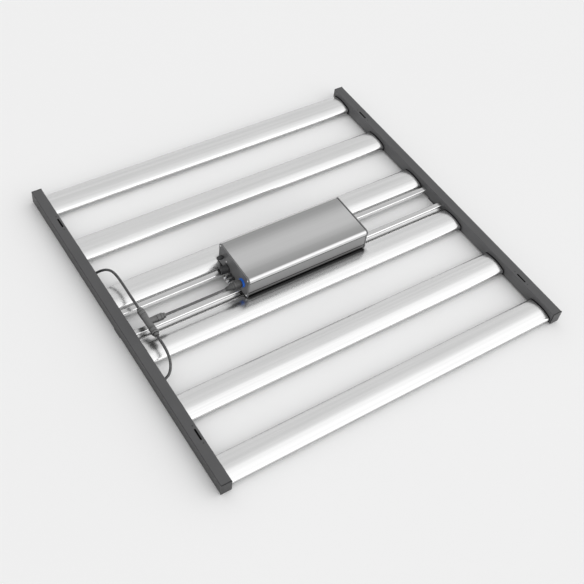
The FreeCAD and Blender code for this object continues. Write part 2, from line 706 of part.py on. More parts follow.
housing = new_body("driver_housing")
section = new_sketch(housing, "YZ_Plane", "section")
side = "(%s - spec.side_inset)" % HALF
skirt = FOOT + " + spec.skirt_height"
low_groove, low_groove_end = FOOT + " + spec.low_groove", FOOT + " + spec.low_groove + spec.low_groove_width"
hood_groove = FOOT + " + spec.hood_groove"
hood_foot = hood_groove + " + spec.hood_groove_width"
hood_top = DRIVER_TOP + " - spec.hood_drop"
mirrored_outline(section, [
    (side + " - spec.skirt_inset", FOOT), (side + " - spec.skirt_inset / 2", skirt), (side, skirt),
    (side, low_groove), (side + " - spec.low_groove_depth", low_groove),
    (side + " - spec.low_groove_depth", low_groove_end),
    (side, low_groove_end), (side, hood_groove), (side + " - spec.side_inset", hood_groove),
    (side + " - spec.side_inset", hood_foot), (HALF, hood_foot),
    (HALF, hood_top + " - spec.hood_radius"),
    (HALF + " - spec.hood_radius", hood_top, "spec.hood_radius")])
cavity(section)
screw_ports(section, PLATE_SCREW_HOLE)
pad(housing, section, "spec.driver_length - 2 * (spec.plate_thick + spec.gasket_thick)")
place(housing, PLATE_BACK + " + spec.gasket_thick")


def plate_outline(sketch):
    proud = "(%s + spec.plate_proud)" % HALF
    waist = proud + " - spec.plate_waist"
    mirrored_outline(sketch, [
        (proud + " - 2", FOOT + " + 1"), (proud, FOOT + " + 11"), (waist, FOOT + " + 24"),
        (waist, FOOT + " + 50"), (proud, FOOT + " + 60"),
        (proud, DRIVER_TOP + " - spec.hood_radius"),
        (proud + " - spec.hood_radius", DRIVER_TOP, "spec.hood_radius")])


# Openings in the left plate: (Y, Z, radius).
PLATE_HOLES = [(y, z, radius + " + spec.clearance") for y, z, radius in (
    ("spec.inlet_side", "spec.inlet_height", "spec.inlet_neck"),
    ("spec.knob_side", "spec.knob_height", "spec.bush_radius"),
    ("spec.lead_side", "spec.lead_height", "spec.socket_radius"),
    ("spec.jack_side - spec.jack_pitch / 2", "spec.jack_height", "spec.jack_neck"),
    ("spec.jack_side + spec.jack_pitch / 2", "spec.jack_height", "spec.jack_neck"))]
gaskets = []
for label, start in (("driver_left_plate", PLATE_FACE), ("driver_right_plate", FAR_BACK)):
    plate = new_body(label)
    shape = new_sketch(plate, "YZ_Plane", "section")
    plate_outline(shape)
    screw_ports(shape, PLATE_SCREW_HOLE)
    if start == PLATE_FACE:
        for y, z, radius in PLATE_HOLES:
            circle(shape, y, z, radius)
    pad(plate, shape, "spec.plate_thick")
    place(plate, start)
for start in (PLATE_BACK, FAR_BACK + " - spec.gasket_thick"):
    gasket = doc.addObject("PartDesign::Body", "gasket")
    shape = new_sketch(gasket, "YZ_Plane", "section")
    mirrored_outline(shape, [
        (HALF + " - 4.6", FOOT + " + 0.5"), (HALF + " - 3.6", FOOT + " + 10"),
        (HALF + " - 3.6", DRIVER_TOP + " - 4"), (HALF + " - 6", DRIVER_TOP + " - 2")])
    cavity(shape)
    screw_ports(shape, PLATE_SCREW_HOLE)
    pad(gasket, shape, "spec.gasket_thick")
    gaskets.append(place(gasket, start))
node(group(*gaskets), "driver_gaskets")

driver_screws = []
for face, inward, outward in ((PLATE_FACE, "x", "-x"), (FAR_FACE, "-x", "x")):
    for y, z in PLATE_SCREWS:
        for way in (-1, 1):
            across = "%d * %s" % (way, y)
            shank = rod("spec.plate_screw_radius", "spec.plate_screw_length", inward, face, across, z)
            head = rod("spec.plate_head_radius", "spec.plate_head_rise", outward, face, across, z)
            driver_screws.append(fuse(shank, head))
driver_screws.append(rod("spec.earth_radius", "spec.earth_rise", "-x", PLATE_FACE,
                         "spec.earth_side", "spec.earth_height"))
node(group(*driver_screws), "driver_screws")

board_foot = FOOT + " + spec.housing_wall"
board_top = board_foot + " + spec.circuit_thick"
board = box(PLATE_BACK + " + spec.circuit_gap", "-spec.circuit_width / 2", board_foot,
            FAR_BACK + " - spec.circuit_gap", "spec.circuit_width / 2", board_top)
node(board, "driver_circuit_board")
core = box("spec.core_start", "spec.core_side - spec.core_width / 2", board_top,
           "spec.core_start + spec.core_length", "spec.core_side + spec.core_width / 2",
           board_top + " + spec.core_height")
at_winding = ("spec.winding_radius", "spec.winding_length", "x",
              "spec.core_start + (spec.core_length - spec.winding_length) / 2", "spec.core_side",
              board_top + " + spec.core_height / 2")
node(fuse(cut(core, rod(*at_winding)), rod(*at_winding)), "driver_transformer")
cans = [rod("spec.can_radius", "spec.can_height", "z", "spec.can_start - %d * spec.can_pitch" % count,
            "spec.can_side", board_top) for count in range(3)]
node(group(*cans), "driver_capacitors")

# --- fittings on the driver's left plate -------------------------------------

at_inlet = ("spec.inlet_side", "spec.inlet_height")
nut = rod("spec.inlet_nut", "spec.inlet_nut_thick", "-x", PLATE_FACE, *at_inlet)
barrel = rod("spec.inlet_radius", "spec.inlet_reach", "-x", PLATE_FACE, *at_inlet)
neck = rod("spec.inlet_neck", "spec.inlet_neck_depth", "x", PLATE_FACE, *at_inlet)
mouth = rod("spec.inlet_bore", "spec.inlet_depth", "x", PLATE_FACE + " - spec.inlet_reach", *at_inlet)
node(cut(fuse(nut, barrel, neck), mouth), "mains_inlet")
pins = []
for turn in (90, 210, 330):
    y = "spec.inlet_side + spec.pin_circle * cos(%d)" % turn
    z = "spec.inlet_height + spec.pin_circle * sin(%d)" % turn
    pins.append(rod("spec.pin_radius", "spec.pin_length", "-x",
                    PLATE_FACE + " - spec.inlet_reach + spec.inlet_depth", y, z))
node(group(*pins), "inlet_pins")

jacks = []
for way in (-1, 1):
    at_jack = ("spec.jack_side + %d * spec.jack_pitch / 2" % way, "spec.jack_height")
    collar = rod("spec.jack_collar", "spec.jack_collar_thick", "-x", PLATE_FACE, *at_jack)
    barrel = rod("spec.jack_radius", "spec.jack_reach", "-x", PLATE_FACE, *at_jack)
    neck = rod("spec.jack_neck", "spec.jack_neck_depth", "x", PLATE_FACE, *at_jack)
    mouth = rod("spec.jack_bore", "spec.jack_depth", "x", PLATE_FACE + " - spec.jack_reach", *at_jack)
    jacks.append(cut(fuse(collar, barrel, neck), mouth))
node(group(*jacks), "control_jacks")

# The dimmer: its body hangs behind the plate, and the knob turns with the shaft.
at_knob = ("spec.knob_side", "spec.knob_height")
KNOB_TIP = PLATE_FACE + " - spec.knob_reach"
SHAFT_TIP = KNOB_TIP + " + spec.knob_face"
case = rod("spec.dimmer_radius", "spec.dimmer_depth", "x", PLATE_BACK, *at_knob)
bush = rod("spec.bush_radius", "spec.plate_thick + spec.bush_reach", "-x", PLATE_BACK, *at_knob)
bore = rod("spec.shaft_radius + spec.shaft_play", "spec.bush_reach + spec.plate_thick + 9", "x",
           PLATE_FACE + " - spec.bush_reach - 1", *at_knob)
node(cut(fuse(case, bush), bore), "dimmer_potentiometer")
node(rod("spec.shaft_radius", "spec.shaft_length", "x", SHAFT_TIP, *at_knob), "dimmer_shaft")
knob = rod("spec.knob_radius", "spec.knob_reach - spec.knob_gap", "x", KNOB_TIP, *at_knob)
socket = rod("spec.shaft_radius", "spec.knob_reach", "x", SHAFT_TIP, *at_knob)
pointer = box(KNOB_TIP + " - spec.pointer_depth", "spec.knob_side - spec.pointer_width / 2",
              "spec.knob_height + spec.pointer_start",
              KNOB_TIP + " + spec.pointer_depth", "spec.knob_side + spec.pointer_width / 2",
              "spec.knob_height + spec.knob_radius + spec.pointer_depth")
node(cut(cut(knob, socket), pointer), "dimmer_knob")

# The output: a socket in the plate, a seal ring round it, and a plug with a locking ring.
SOCKET_TIP = PLATE_FACE + " - spec.socket_reach"
RING_START = PLATE_FACE + " - spec.ring_start"
PLUG_END = PLATE_FACE + " - spec.plug_reach"
TAIL_START = "(spec.socket_reach + spec.nose_length + spec.grip_length)"
at_output = ("spec.lead_side", "spec.lead_height")
node(rod("spec.socket_radius", "spec.socket_length", "x", SOCKET_TIP, *at_output), "output_socket")
seal = rod("spec.seal_radius", "spec.seal_thick", "-x", PLATE_FACE, *at_output)
hole = rod("spec.socket_radius", "2 * spec.seal_thick", "-x", PLATE_FACE + " + 1", *at_output)
node(cut(seal, hole), "blue_seal_ring")
ring = rod("spec.ring_radius", "spec.ring_length", "-x", RING_START, *at_output)
hole = rod("spec.socket_radius + spec.running_gap", "spec.ring_length + 2", "-x", RING_START + " + 1",
           *at_output)
node(cut(ring, hole), "output_locking_ring")
nose = rod("spec.socket_radius", "spec.nose_length", "-x", SOCKET_TIP, *at_output)
grip = rod("spec.grip_radius", "spec.grip_length", "-x", SOCKET_TIP + " - spec.nose_length", *at_output)
tail = taper("spec.tail_start", "spec.tail_end", "spec.plug_reach - " + TAIL_START, "-x",
             PLATE_FACE + " - " + TAIL_START, *at_output)
node(fuse(nose, grip, tail), "output_plug")

# --- splitter ----------------------------------------------------------------

at_splitter = ("spec.splitter_place", "spec.lead_side", "spec.lead_height")


def from_splitter(axis, distance):
    """The point at a distance along one arm, as three expressions."""
    x, y, z = at_splitter
    if axis == "x":
        return x + " + " + distance, y, z
    return x, y + (" + " if axis == "y" else " - ") + distance, z


arms = []
for axis in ("x", "y", "-y"):
    arms.append(rod("spec.splitter_radius", "spec.hub_reach", axis, *at_splitter))
    arms.append(rod("spec.nipple_radius", "spec.nipple_reach", axis, *at_splitter))
node(fuse(*arms), "splitter_body")
for label, axis in (("splitter_driver_ring", "x"), ("splitter_back_ring", "y"),
                    ("splitter_front_ring", "-y")):
    start = from_splitter(axis, "spec.sleeve_start")
    sleeve = rod("spec.sleeve_radius", "spec.sleeve_length", axis, *start)
    tail = taper("spec.sleeve_radius", "spec.mouth_radius",
                 "spec.splitter_arm - spec.sleeve_start - spec.sleeve_length", axis,
                 *from_splitter(axis, "(spec.sleeve_start + spec.sleeve_length)"))
    inside = rod("spec.nipple_radius + spec.running_gap", "spec.sleeve_depth", axis, *start)
    bore = rod("spec.lead_radius + 2 * spec.running_gap", "spec.splitter_arm", axis, *start)
    node(cut(cut(fuse(sleeve, tail), inside), bore), label)

# --- leads -------------------------------------------------------------------

# Routes from the plug or the splitter's arm to where each lead ends, by hand.
out_y, out_z = value("spec.lead_side"), value("spec.lead_height")
hub_x = value("spec.splitter_place")
arm = value("spec.nipple_reach")
ROUTES = {
    "driver_lead": [
        (value(PLUG_END), out_y, out_z), (-348, out_y, out_z - 1.5), (hub_x + arm, out_y, out_z)],
    "back_branch_lead": [
        (hub_x, out_y + arm, out_z), (-483.5, 45, 65.8), (-482.5, 105, 65.3), (-483.2, 140, 62),
        (-486, 163, 54.3), (-492.3, 180, 43.5), (-501, 190.5, 33.5), (-510.5, 195.5, 26.6),
        (-519, LEAD_ENTRY[1], 24)],
    "front_branch_lead": [
        (hub_x, out_y - arm, out_z), (-482.9, -112, 65.3), (-482.2, -142, 63.7),
        (-484.5, -168, 57.5), (-490.5, -187.5, 47.5), (-499, -198.5, 36.5), (-509, -203, 28),
        (-519, LEAD_ENTRY[-1], 24)],
}


# How much of a run each of its two corners may take up.
CORNER_SHARE = 0.45


def lead_path(points, label):
    """Straight runs joined by tangent arcs, each as large as its two runs allow."""
    corners = [V(*p) for p in points]
    edges = []
    start = corners[0]
    for before, corner, after in zip(corners, corners[1:], corners[2:]):
        back, ahead = (before - corner), (after - corner)
        shorter = min(back.Length, ahead.Length)
        back.normalize()
        ahead.normalize()
        turn = math.pi - back.getAngle(ahead)
        reach = CORNER_SHARE * shorter
        radius = reach / math.tan(turn / 2)
        first, last = corner + back * reach, corner + ahead * reach
        inward = (back + ahead).normalize()
        middle = corner + inward * (radius / math.cos(turn / 2) - radius)
        edges.append(Part.LineSegment(start, first).toShape())
        edges.append(Part.Arc(first, middle, last).toShape())
        start = last
        print("%s turns %.0f degrees at radius %.0f mm" % (label, math.degrees(turn), radius))
    edges.append(Part.LineSegment(start, corners[-1]).toShape())
    return Part.Wire(edges)


for label, points in ROUTES.items():
    path = lead_path(points, label)
    radius = value("spec.lead_radius")
    first = path.Edges[0]
    heading = first.tangentAt(first.FirstParameter)
    ring = Part.Wire([Part.makeCircle(radius, V(*points[0]), heading)])
    tube = doc.addObject("Part::Feature", label)
    tube.Shape = path.makePipeShell([ring], True, False)
    print("%s: %.1f mm long, volume ratio %.4f" % (
        label, path.Length, tube.Shape.Volume / (math.pi * radius * radius * path.Length)))
    node(tube, label)

grommets = []
harness = []
for way, y in LEAD_ENTRY.items():
    lip = rod(GROMMET_NECK + " + spec.grommet_lip", "spec.grommet_thick", "x", "-" + INNER_FACE,
              y, RAIL_MIDDLE)
    neck = rod(GROMMET_NECK + " - spec.press_gap", "spec.rail_wall + 1", "-x", "-" + INNER_FACE,
               y, RAIL_MIDDLE)
    grommets.append(fuse(lip, neck))
    start = "spec.harness_start" if way > 0 else "-spec.harness_end"
    wire = rod("spec.harness_radius", "spec.harness_end - spec.harness_start", "y",
               "-(spec.frame_length - spec.rail_width) / 2", start, RAIL_MIDDLE)
    harness.append(wire)
node(group(*grommets), "rail_grommets")
node(group(*harness), "rail_harness")

# --- checks and export -------------------------------------------------------

doc.recompute()
for item in doc.Objects:
    troubled = [word for word in item.State if word in ("Invalid", "Error")]
    if troubled:
        raise RuntimeError("%s (%s) failed: %s" % (item.Name, item.Label, item.State))

os.makedirs("parts", exist_ok=True)
labels = [item.Label for item in nodes]
if len(set(labels)) != len(labels):
    raise RuntimeError("two sub-parts share a name")
bad = [item.Label for item in nodes if item.Shape.isNull() or not item.Shape.isValid()]
if bad:
    raise RuntimeError("no valid shape: %s" % ", ".join(bad))
for item in nodes:
    item.Shape.exportStep("parts/%s.step" % item.Label)
whole = Part.makeCompound([item.Shape for item in nodes])
print("%d sub-parts, %s" % (len(nodes), whole.BoundBox))
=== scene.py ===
import json
import math

import bmesh
import bpy
from bpy.props import FloatProperty, FloatVectorProperty, PointerProperty
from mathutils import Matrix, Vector

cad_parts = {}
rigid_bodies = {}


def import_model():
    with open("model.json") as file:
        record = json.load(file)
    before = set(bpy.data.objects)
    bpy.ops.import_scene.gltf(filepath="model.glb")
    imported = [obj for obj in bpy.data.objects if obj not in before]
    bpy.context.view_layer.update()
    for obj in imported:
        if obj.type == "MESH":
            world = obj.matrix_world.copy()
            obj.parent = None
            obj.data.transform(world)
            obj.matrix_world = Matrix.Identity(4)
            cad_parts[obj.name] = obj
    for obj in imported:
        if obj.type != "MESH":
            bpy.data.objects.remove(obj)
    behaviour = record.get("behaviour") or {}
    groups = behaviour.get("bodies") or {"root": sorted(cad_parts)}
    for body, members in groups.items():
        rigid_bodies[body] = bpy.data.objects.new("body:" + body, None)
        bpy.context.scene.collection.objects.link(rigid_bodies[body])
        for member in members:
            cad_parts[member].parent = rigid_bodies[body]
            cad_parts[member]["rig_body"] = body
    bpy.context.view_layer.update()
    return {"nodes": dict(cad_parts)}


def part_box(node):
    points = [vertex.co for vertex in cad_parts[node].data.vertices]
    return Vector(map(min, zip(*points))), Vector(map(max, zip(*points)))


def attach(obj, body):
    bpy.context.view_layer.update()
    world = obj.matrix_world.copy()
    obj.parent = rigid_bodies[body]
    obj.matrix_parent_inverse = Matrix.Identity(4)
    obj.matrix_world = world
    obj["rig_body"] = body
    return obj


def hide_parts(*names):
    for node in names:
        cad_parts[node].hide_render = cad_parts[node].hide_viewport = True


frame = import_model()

bl_info = {
    "name": "LED grow light",
    "version": (1, 0, 0),
    "blender": (4, 5, 0),
    "location": "3D View > Sidebar > Grow Light",
    "description": "Finishes and detail for a bar-type greenhouse light, around its solid parts",
    "category": "Add Mesh",
}

NODES = frame["nodes"]
MAIN_BODY = "frame"
BAR_COUNT = 6


def on_body(node):
    """The moving body that a solid part belongs to."""
    return NODES[node]["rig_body"]


# --- shader sheets -----------------------------------------------------------


class Value:
    """An output of a shader node; sums written on it add Math nodes."""

    def __init__(self, sheet, socket):
        self.sheet = sheet
        self.socket = socket

    def worked(self, operation, first, second):
        return self.sheet.node("ShaderNodeMath", {"operation": operation}, {0: first, 1: second})

    def __add__(self, other):
        return self.worked("ADD", self, other)

    __radd__ = __add__

    def __sub__(self, other):
        return self.worked("SUBTRACT", self, other)

    def __rsub__(self, other):
        return self.worked("SUBTRACT", other, self)

    def __mul__(self, other):
        return self.worked("MULTIPLY", self, other)

    __rmul__ = __mul__

    def __abs__(self):
        return self.worked("ABSOLUTE", self, 0.0)


class NodeSheet:
    """A node tree, and the one way that nodes are added to it."""

    def __init__(self, tree):
        self.tree = tree

    def put(self, socket, value):
        if isinstance(value, Value):
            self.tree.links.new(value.socket, socket)
        else:
            socket.default_value = value

    def node(self, kind, settings=None, inputs=None, output=0):
        node = self.tree.nodes.new(kind)
        for key, value in (settings or {}).items():
            setattr(node, key, value)
        for key, value in (inputs or {}).items():
            self.put(node.inputs[key], value)
        return Value(self, node.outputs[output])

    def spread(self, value, low, high, to_low=0.0, to_high=1.0, soft=False):
        """A value carried from one range to another, held at the ends."""
        settings = {"clamp": True, "interpolation_type": "SMOOTHSTEP" if soft else "LINEAR"}
        inputs = {0: value, 1: low, 2: high, 3: to_low, 4: to_high}
        return self.node("ShaderNodeMapRange", settings, inputs)


class Finish(NodeSheet):
    """A material and the nodes that make it."""

    def __init__(self, name, **shader):
        self.material = bpy.data.materials.new(name)
        self.material.use_nodes = True
        super().__init__(self.material.node_tree)
        self.tree.nodes.clear()
        out = self.tree.nodes.new("ShaderNodeOutputMaterial")
        self.shader = self.tree.nodes.new("ShaderNodeBsdfPrincipled")
        self.tree.links.new(self.shader.outputs[0], out.inputs[0])
        for socket, value in shader.items():
            self.set(socket.replace("_", " ").title(), value)

    def set(self, socket, value):
        names = {"Ior": "IOR", "Specular Level": "Specular IOR Level"}
        self.put(self.shader.inputs[names.get(socket, socket)], value)

    def place(self, scale=(1, 1, 1)):
        """Object coordinates in metres, stretched."""
        coordinates = self.node("ShaderNodeTexCoord", output="Object")
        return self.node("ShaderNodeMapping", None, {"Vector": coordinates, "Scale": scale})

    def along(self, axis):
        """How far a point lies along X, Y or Z, in metres."""
        coordinates = self.node("ShaderNodeTexCoord", output="Object")
        return self.node("ShaderNodeSeparateXYZ", None, {0: coordinates}, output=axis)

    def noise(self, scale, detail=3.0, stretch=(1, 1, 1), rough=0.5):
        """Soft noise with its grain in cycles per metre."""
        inputs = {"Vector": self.place(stretch), "Scale": scale, "Detail": detail,
                  "Roughness": rough}
        return self.node("ShaderNodeTexNoise", None, inputs)

    def blend(self, factor, first, second):
        inputs = {0: factor, 6: first, 7: second}
        return self.node("ShaderNodeMix", {"data_type": "RGBA"}, inputs, output=2)

    def bump(self, height, depth):
        inputs = {"Height": height, "Distance": depth, "Strength": 1.0}
        return self.node("ShaderNodeBump", None, inputs)


def shade(colour, factor):
    """A colour made lighter or darker, with full alpha."""
    return tuple(min(1.0, part * factor) for part in colour[:3]) + (1.0,)


def studio_world(stage):
    """White light from all round: a broad bright field overhead, weaker from two sides."""
    world = bpy.data.worlds.new("studio")
    world.use_nodes = True
    sheet = NodeSheet(world.node_tree)
    direction = sheet.node("ShaderNodeTexCoord")
    along = sheet.node("ShaderNodeSeparateXYZ", None, {0: direction}, output="X")
    across = sheet.node("ShaderNodeSeparateXYZ", None, {0: direction}, output="Y")
    blur = 0.13
    overhead = sheet.spread(across, stage.field_edge + blur, stage.field_edge - blur,
                            stage.sky, stage.overhead, soft=True)
    strip = sheet.spread(across, -0.45, -0.62, 0.0, stage.front_strip, soft=True)
    side = sheet.spread(along, -0.8, 0.25, stage.weak_side, 1.0, soft=True)
    sheet.put(world.node_tree.nodes["Background"].inputs["Strength"], (overhead + strip) * side)
    sheet.put(world.node_tree.nodes["Background"].inputs["Color"], (1, 1, 1, 1))
    return world


# --- finishes ----------------------------------------------------------------


def drawn_aluminium(name, colour, roughness, streaks=0.06, line_depth=0.00002, grain=900.0,
                    tone=None):
    """Anodised aluminium with fine lines along the length it was drawn in."""
    metal = Finish(name, metallic=1.0)
    fine = metal.noise(1.0, 2.0, (5, grain, grain))
    broad = metal.noise(1.0, 2.0, (0.9, 110, 110))
    cloud = metal.noise(7.0, 3.0)
    mixed = broad * 0.6 + fine * 0.25 + cloud * 0.15
    light = metal.spread(mixed, 0.3, 0.7, 1 - 2 * streaks, 1.0)
    # tone, where given, multiplies in painted light and shade
    if tone:
        light = light * tone(metal)
    metal.set("Base Color", metal.blend(light, (0, 0, 0, 1), shade(colour, 1 + streaks)))
    metal.set("Roughness", roughness + (fine - 0.5) * 0.10 + (cloud - 0.5) * 0.08)
    metal.set("Normal", metal.bump(fine, line_depth))
    return metal.material


# The three tones below are painted light and shade: highlights, reflections and shadows put into a
# colour by where a point lies on the object. They don't follow the lights or the view.


def housing_painted_light(metal):
    """Paints a reflection on the hood's crown and a highlight along its front edge, and shade on
    the walls, deepest in lines at the grooves and over the foot.
    """
    wall_top, hood_foot = 0.0880, 0.0895
    crown, shoulder = 0.012, 0.066
    highlight_start, highlight_end = -0.0705, -0.0740
    wall, line, line_blur = 0.29, 0.21, 0.0006
    groove_shade_levels = ((0.0853, 0.0016), (0.0462, 0.0014), (0.0310, 0.0050))
    across, height = metal.along("Y"), metal.along("Z")
    # painted reflection: lighter on the hood's crown, darker towards its shoulders
    top = metal.spread(abs(across), crown, shoulder, 0.68, 0.42, soft=True)
    # painted highlight along the hood's front edge
    edge = metal.spread(across, highlight_start, highlight_end, 0.0, 0.34)
    hood = metal.spread(height, wall_top, hood_foot)
    # painted shade on the walls, darker still in lines at the two grooves and over the foot
    lines = 0.0
    for level, reach in groove_shade_levels:
        lines = lines + metal.spread(abs(height - level), reach, reach + line_blur, line, 0.0)
    return (top + edge) * hood + (1.0 - hood) * (wall - lines)


def bar_painted_shade(metal):
    """Paints shade on each bar's back shoulder and low down near the floor, and the driver's shadow
    on the bars beside it.
    """
    shoulder, foot = (0.0378, 0.0392), (0.0155, 0.0185)
    # depth and reach of the painted shadow beside the driver
    painted_shade, reach_across, reach_along = 0.78, 0.024, 0.012
    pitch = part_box("bar_2_heat_sink")[0].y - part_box("bar_1_heat_sink")[0].y
    local = metal.node("ShaderNodeMath", {"operation": "WRAP"},
                       {0: metal.along("Y") - pitch / 2, 1: pitch / 2, 2: -pitch / 2})
    # painted shade: a dark line on each bar's back shoulder, and darker low down near the floor
    back = metal.spread(local, *shoulder, 1.0, 0.5)
    painted_foot_shade = metal.spread(metal.along("Z"), *foot, 0.55, 1.0)
    _, high, middle = span("driver_housing")
    half = high.x - middle.x
    # painted shadow of the driver on the bars beside it
    painted_driver_shadow = metal.spread(abs(metal.along("Y")), high.y - 0.002, high.y + reach_across,
                          painted_shade, 0.0, soft=True)
    within = metal.spread(abs(metal.along("X") - middle.x), half - 0.004, half + reach_along,
                          1.0, 0.0, soft=True)
    return back * painted_foot_shade * (1.0 - painted_driver_shadow * within)


def rod_painted_light(metal):
    """Paints a highlight along the rods' front-facing edges, and shade on their flanges and rims.
    """
    line_start, line_end, line = 0.0012, 0.0024, 0.22
    across = metal.along("Y")
    tone = 0.70
    # painted highlights along the front-facing edges
    for edge in (-0.0455, 0.0300):
        tone = tone + metal.spread(abs(across - edge), line_start, line_end, line, 0.0)
    # painted shade on the flanges and rims
    for inside, outside, painted_shade_depth in ((0.0470, 0.0485, 0.12), (0.0520, 0.0530, 0.30)):
        tone = tone - metal.spread(abs(across), inside, outside, 0.0, painted_shade_depth)
    return tone


def powder_coat(name, colour, roughness=0.46, tone=None):
    """A fine-textured baked powder coat with a few faint rubs."""
    coat = Finish(name, specular_level=0.45)
    pebble = coat.noise(1500.0, 2.0)
    wave = coat.noise(160.0, 2.0)
    cloud = coat.noise(9.0, 4.0)
    rub = coat.spread(coat.noise(1.0, 5.0, (60, 14, 60), 0.65), 0.62, 0.78)
    mottle = coat.spread(cloud * 0.7 + pebble * 0.3, 0.3, 0.7)
    plain = coat.blend(mottle, shade(colour, 0.9), shade(colour, 1.1))
    worn = coat.blend(rub * 0.35, plain, shade(colour, 1.55))
    # tone, where given, blends painted shade over the coat
    coat.set("Base Color", coat.blend(tone(coat), worn, (0, 0, 0, 1)) if tone else worn)
    coat.set("Roughness", roughness + (pebble - 0.5) * 0.12 + rub * -0.08)
    coat.set("Normal", coat.bump(pebble * 0.7 + wave * 0.3, 0.00006))
    return coat.material


def rail_painted_shade(coat):
    """Painted shade over the rails: none on the right one's inner face, which stays light, most
    on the left one's outer face. It doesn't follow the lights or the view either."""
    black, left_outer, right_inner = 0.35, -0.5488, 0.5200
    # painted shade over all but the right rail's inner face, twice as deep on the left rail's outer
    # face
    across = coat.along("X")
    painted_outer_shade = coat.spread(across, left_outer, -0.5496, 0.0, black)
    painted_shade_elsewhere = coat.spread(abs(across - right_inner), 0.0010, 0.0016, 0.0, black)
    return painted_outer_shade + painted_shade_elsewhere


def moulded_plastic(name, colour, roughness=0.32, grain=2600.0, painted_shade_heights=None):
    """Moulded plastic with a spark-eroded grain and slight flow marks. Where levels gives
    two heights, painted shade darkens it below the first and is gone above the second."""
    plastic = Finish(name, specular_level=0.5)
    spark = plastic.noise(grain, 2.0)
    flow = plastic.noise(60.0, 3.0)
    tone = plastic.spread(flow * 0.6 + spark * 0.4, 0.3, 0.7)
    skin = plastic.blend(tone, shade(colour, 0.8), shade(colour, 1.25))
    if painted_shade_heights:
        # painted shade, darker below the first height
        painted_shade = plastic.spread(plastic.along("Z"), *painted_shade_heights, 0.85, 0.0, soft=True)
        skin = plastic.blend(painted_shade, skin, (0, 0, 0, 1))
    plastic.set("Base Color", skin)
    plastic.set("Roughness", roughness + (flow - 0.5) * 0.16 + (spark - 0.5) * 0.08)
    plastic.set("Normal", plastic.bump(spark, 0.00003))
    return plastic.material


def soft_rubber(name, colour, roughness=0.62):
    """Dull rubber with a fine bloom on it."""
    rubber = Finish(name, specular_level=0.35, sheen_weight=0.15)
    bloom = rubber.noise(90.0, 5.0, rough=0.6)
    skin = rubber.noise(2200.0, 2.0)
    rubber.set("Base Color", rubber.blend(rubber.spread(bloom, 0.35, 0.7), shade(colour, 0.85),
                                          shade(colour, 1.6)))
    rubber.set("Roughness", roughness + (bloom - 0.5) * 0.15)
    rubber.set("Normal", rubber.bump(skin, 0.00003))
    return rubber.material


def cable_jacket(name, colour):
    """Satin cable jacket, slightly uneven over the twisted cores inside."""
    jacket = Finish(name, specular_level=0.7, coat_weight=0.45, coat_roughness=0.22)
    lay = jacket.noise(55.0, 2.0)
    skin = jacket.noise(1500.0, 2.0)
    dust = jacket.noise(130.0, 4.0)
    jacket.set("Base Color", jacket.blend(jacket.spread(dust, 0.45, 0.75), shade(colour, 1.0),
                                          shade(colour, 1.7)))
    jacket.set("Roughness", 0.27 + (lay - 0.5) * 0.12 + (dust - 0.5) * 0.1)
    jacket.set("Normal", jacket.bump(lay * 0.6 + skin * 0.08, 0.0003))
    return jacket.material


def zinc_steel(name, colour, metallic=1.0):
    """Bright zinc plate with turning marks."""
    steel = Finish(name, metallic=metallic)
    marks = steel.noise(1.0, 2.0, (2500, 2500, 300))
    cloud = steel.noise(220.0, 3.0)
    tone = steel.spread(cloud * 0.6 + marks * 0.4, 0.3, 0.7)
    steel.set("Base Color", steel.blend(tone, shade(colour, 0.8), shade(colour, 1.12)))
    steel.set("Roughness", 0.24 + (marks - 0.5) * 0.12 + (cloud - 0.5) * 0.12)
    steel.set("Normal", steel.bump(marks, 0.00002))
    return steel.material


def frosted_cover(name):
    """The clear cover under the diodes, finely frosted and ribbed lengthwise."""
    cover = Finish(name, ior=1.49, specular_level=0.5)
    frost = cover.noise(1800.0, 2.0)
    ribs = cover.node("ShaderNodeTexWave", {"bands_direction": "Y"},
                      {"Vector": cover.place(), "Scale": 120.0, "Distortion": 0.0})
    cover.set("Base Color", cover.blend(frost, (0.80, 0.84, 0.84, 1), (0.9, 0.93, 0.93, 1)))
    cover.set("Roughness", 0.22 + (frost - 0.5) * 0.1)
    cover.set("Alpha", 0.10 + ribs * 0.07)
    cover.set("Normal", cover.bump(ribs * 0.6 + frost * 0.2, 0.0001))
    return cover.material


def solder_mask(name, colour, track):
    """Solder mask with the edges of copper tracks just showing under it."""
    mask = Finish(name, specular_level=0.5, coat_weight=0.3, coat_roughness=0.15)
    cells = mask.node("ShaderNodeTexVoronoi", {"distance": "CHEBYCHEV"},
                      {"Vector": mask.place((1, 3, 1)), "Scale": 60.0, "Randomness": 0.8})
    tracks = mask.spread(cells, 0.40, 0.44)
    cloud = mask.noise(300.0, 3.0)
    mask.set("Base Color", mask.blend(tracks * 0.5 + (cloud - 0.5) * 0.2,
                                      shade(colour, 1.0), track))
    mask.set("Roughness", 0.3 + (cloud - 0.5) * 0.15)
    mask.set("Normal", mask.bump(tracks, 0.00004))
    return mask.material


def diode_resin(name):
    """Warm phosphor resin in a white diode package."""
    resin = Finish(name, coat_weight=0.4, coat_roughness=0.1)
    grain = resin.noise(3000.0, 3.0)
    pair = resin.node("ShaderNodeTexWhiteNoise", {"noise_dimensions": "3D"},
                      {"Vector": resin.node("ShaderNodeVectorMath", {"operation": "SNAP"},
                                            {0: resin.place(), 1: (0.0124, 0.0124, 0.5)})})
    resin.set("Base Color", resin.blend(pair * 0.35 + (grain - 0.5) * 0.2, (0.87, 0.62, 0.12, 1),
                                        (0.92, 0.78, 0.35, 1)))
    resin.set("Roughness", 0.35 + (grain - 0.5) * 0.1)
    return resin.material


# --- modelling ---------------------------------------------------------------

MM = 0.001
LEFTWARDS = Vector((-1, 0, 0))
FACING = 0.9    # the least share of a face's normal along the way that it is said to face
SIDE = 0.3      # the most share of a side face's normal along its piece's axis


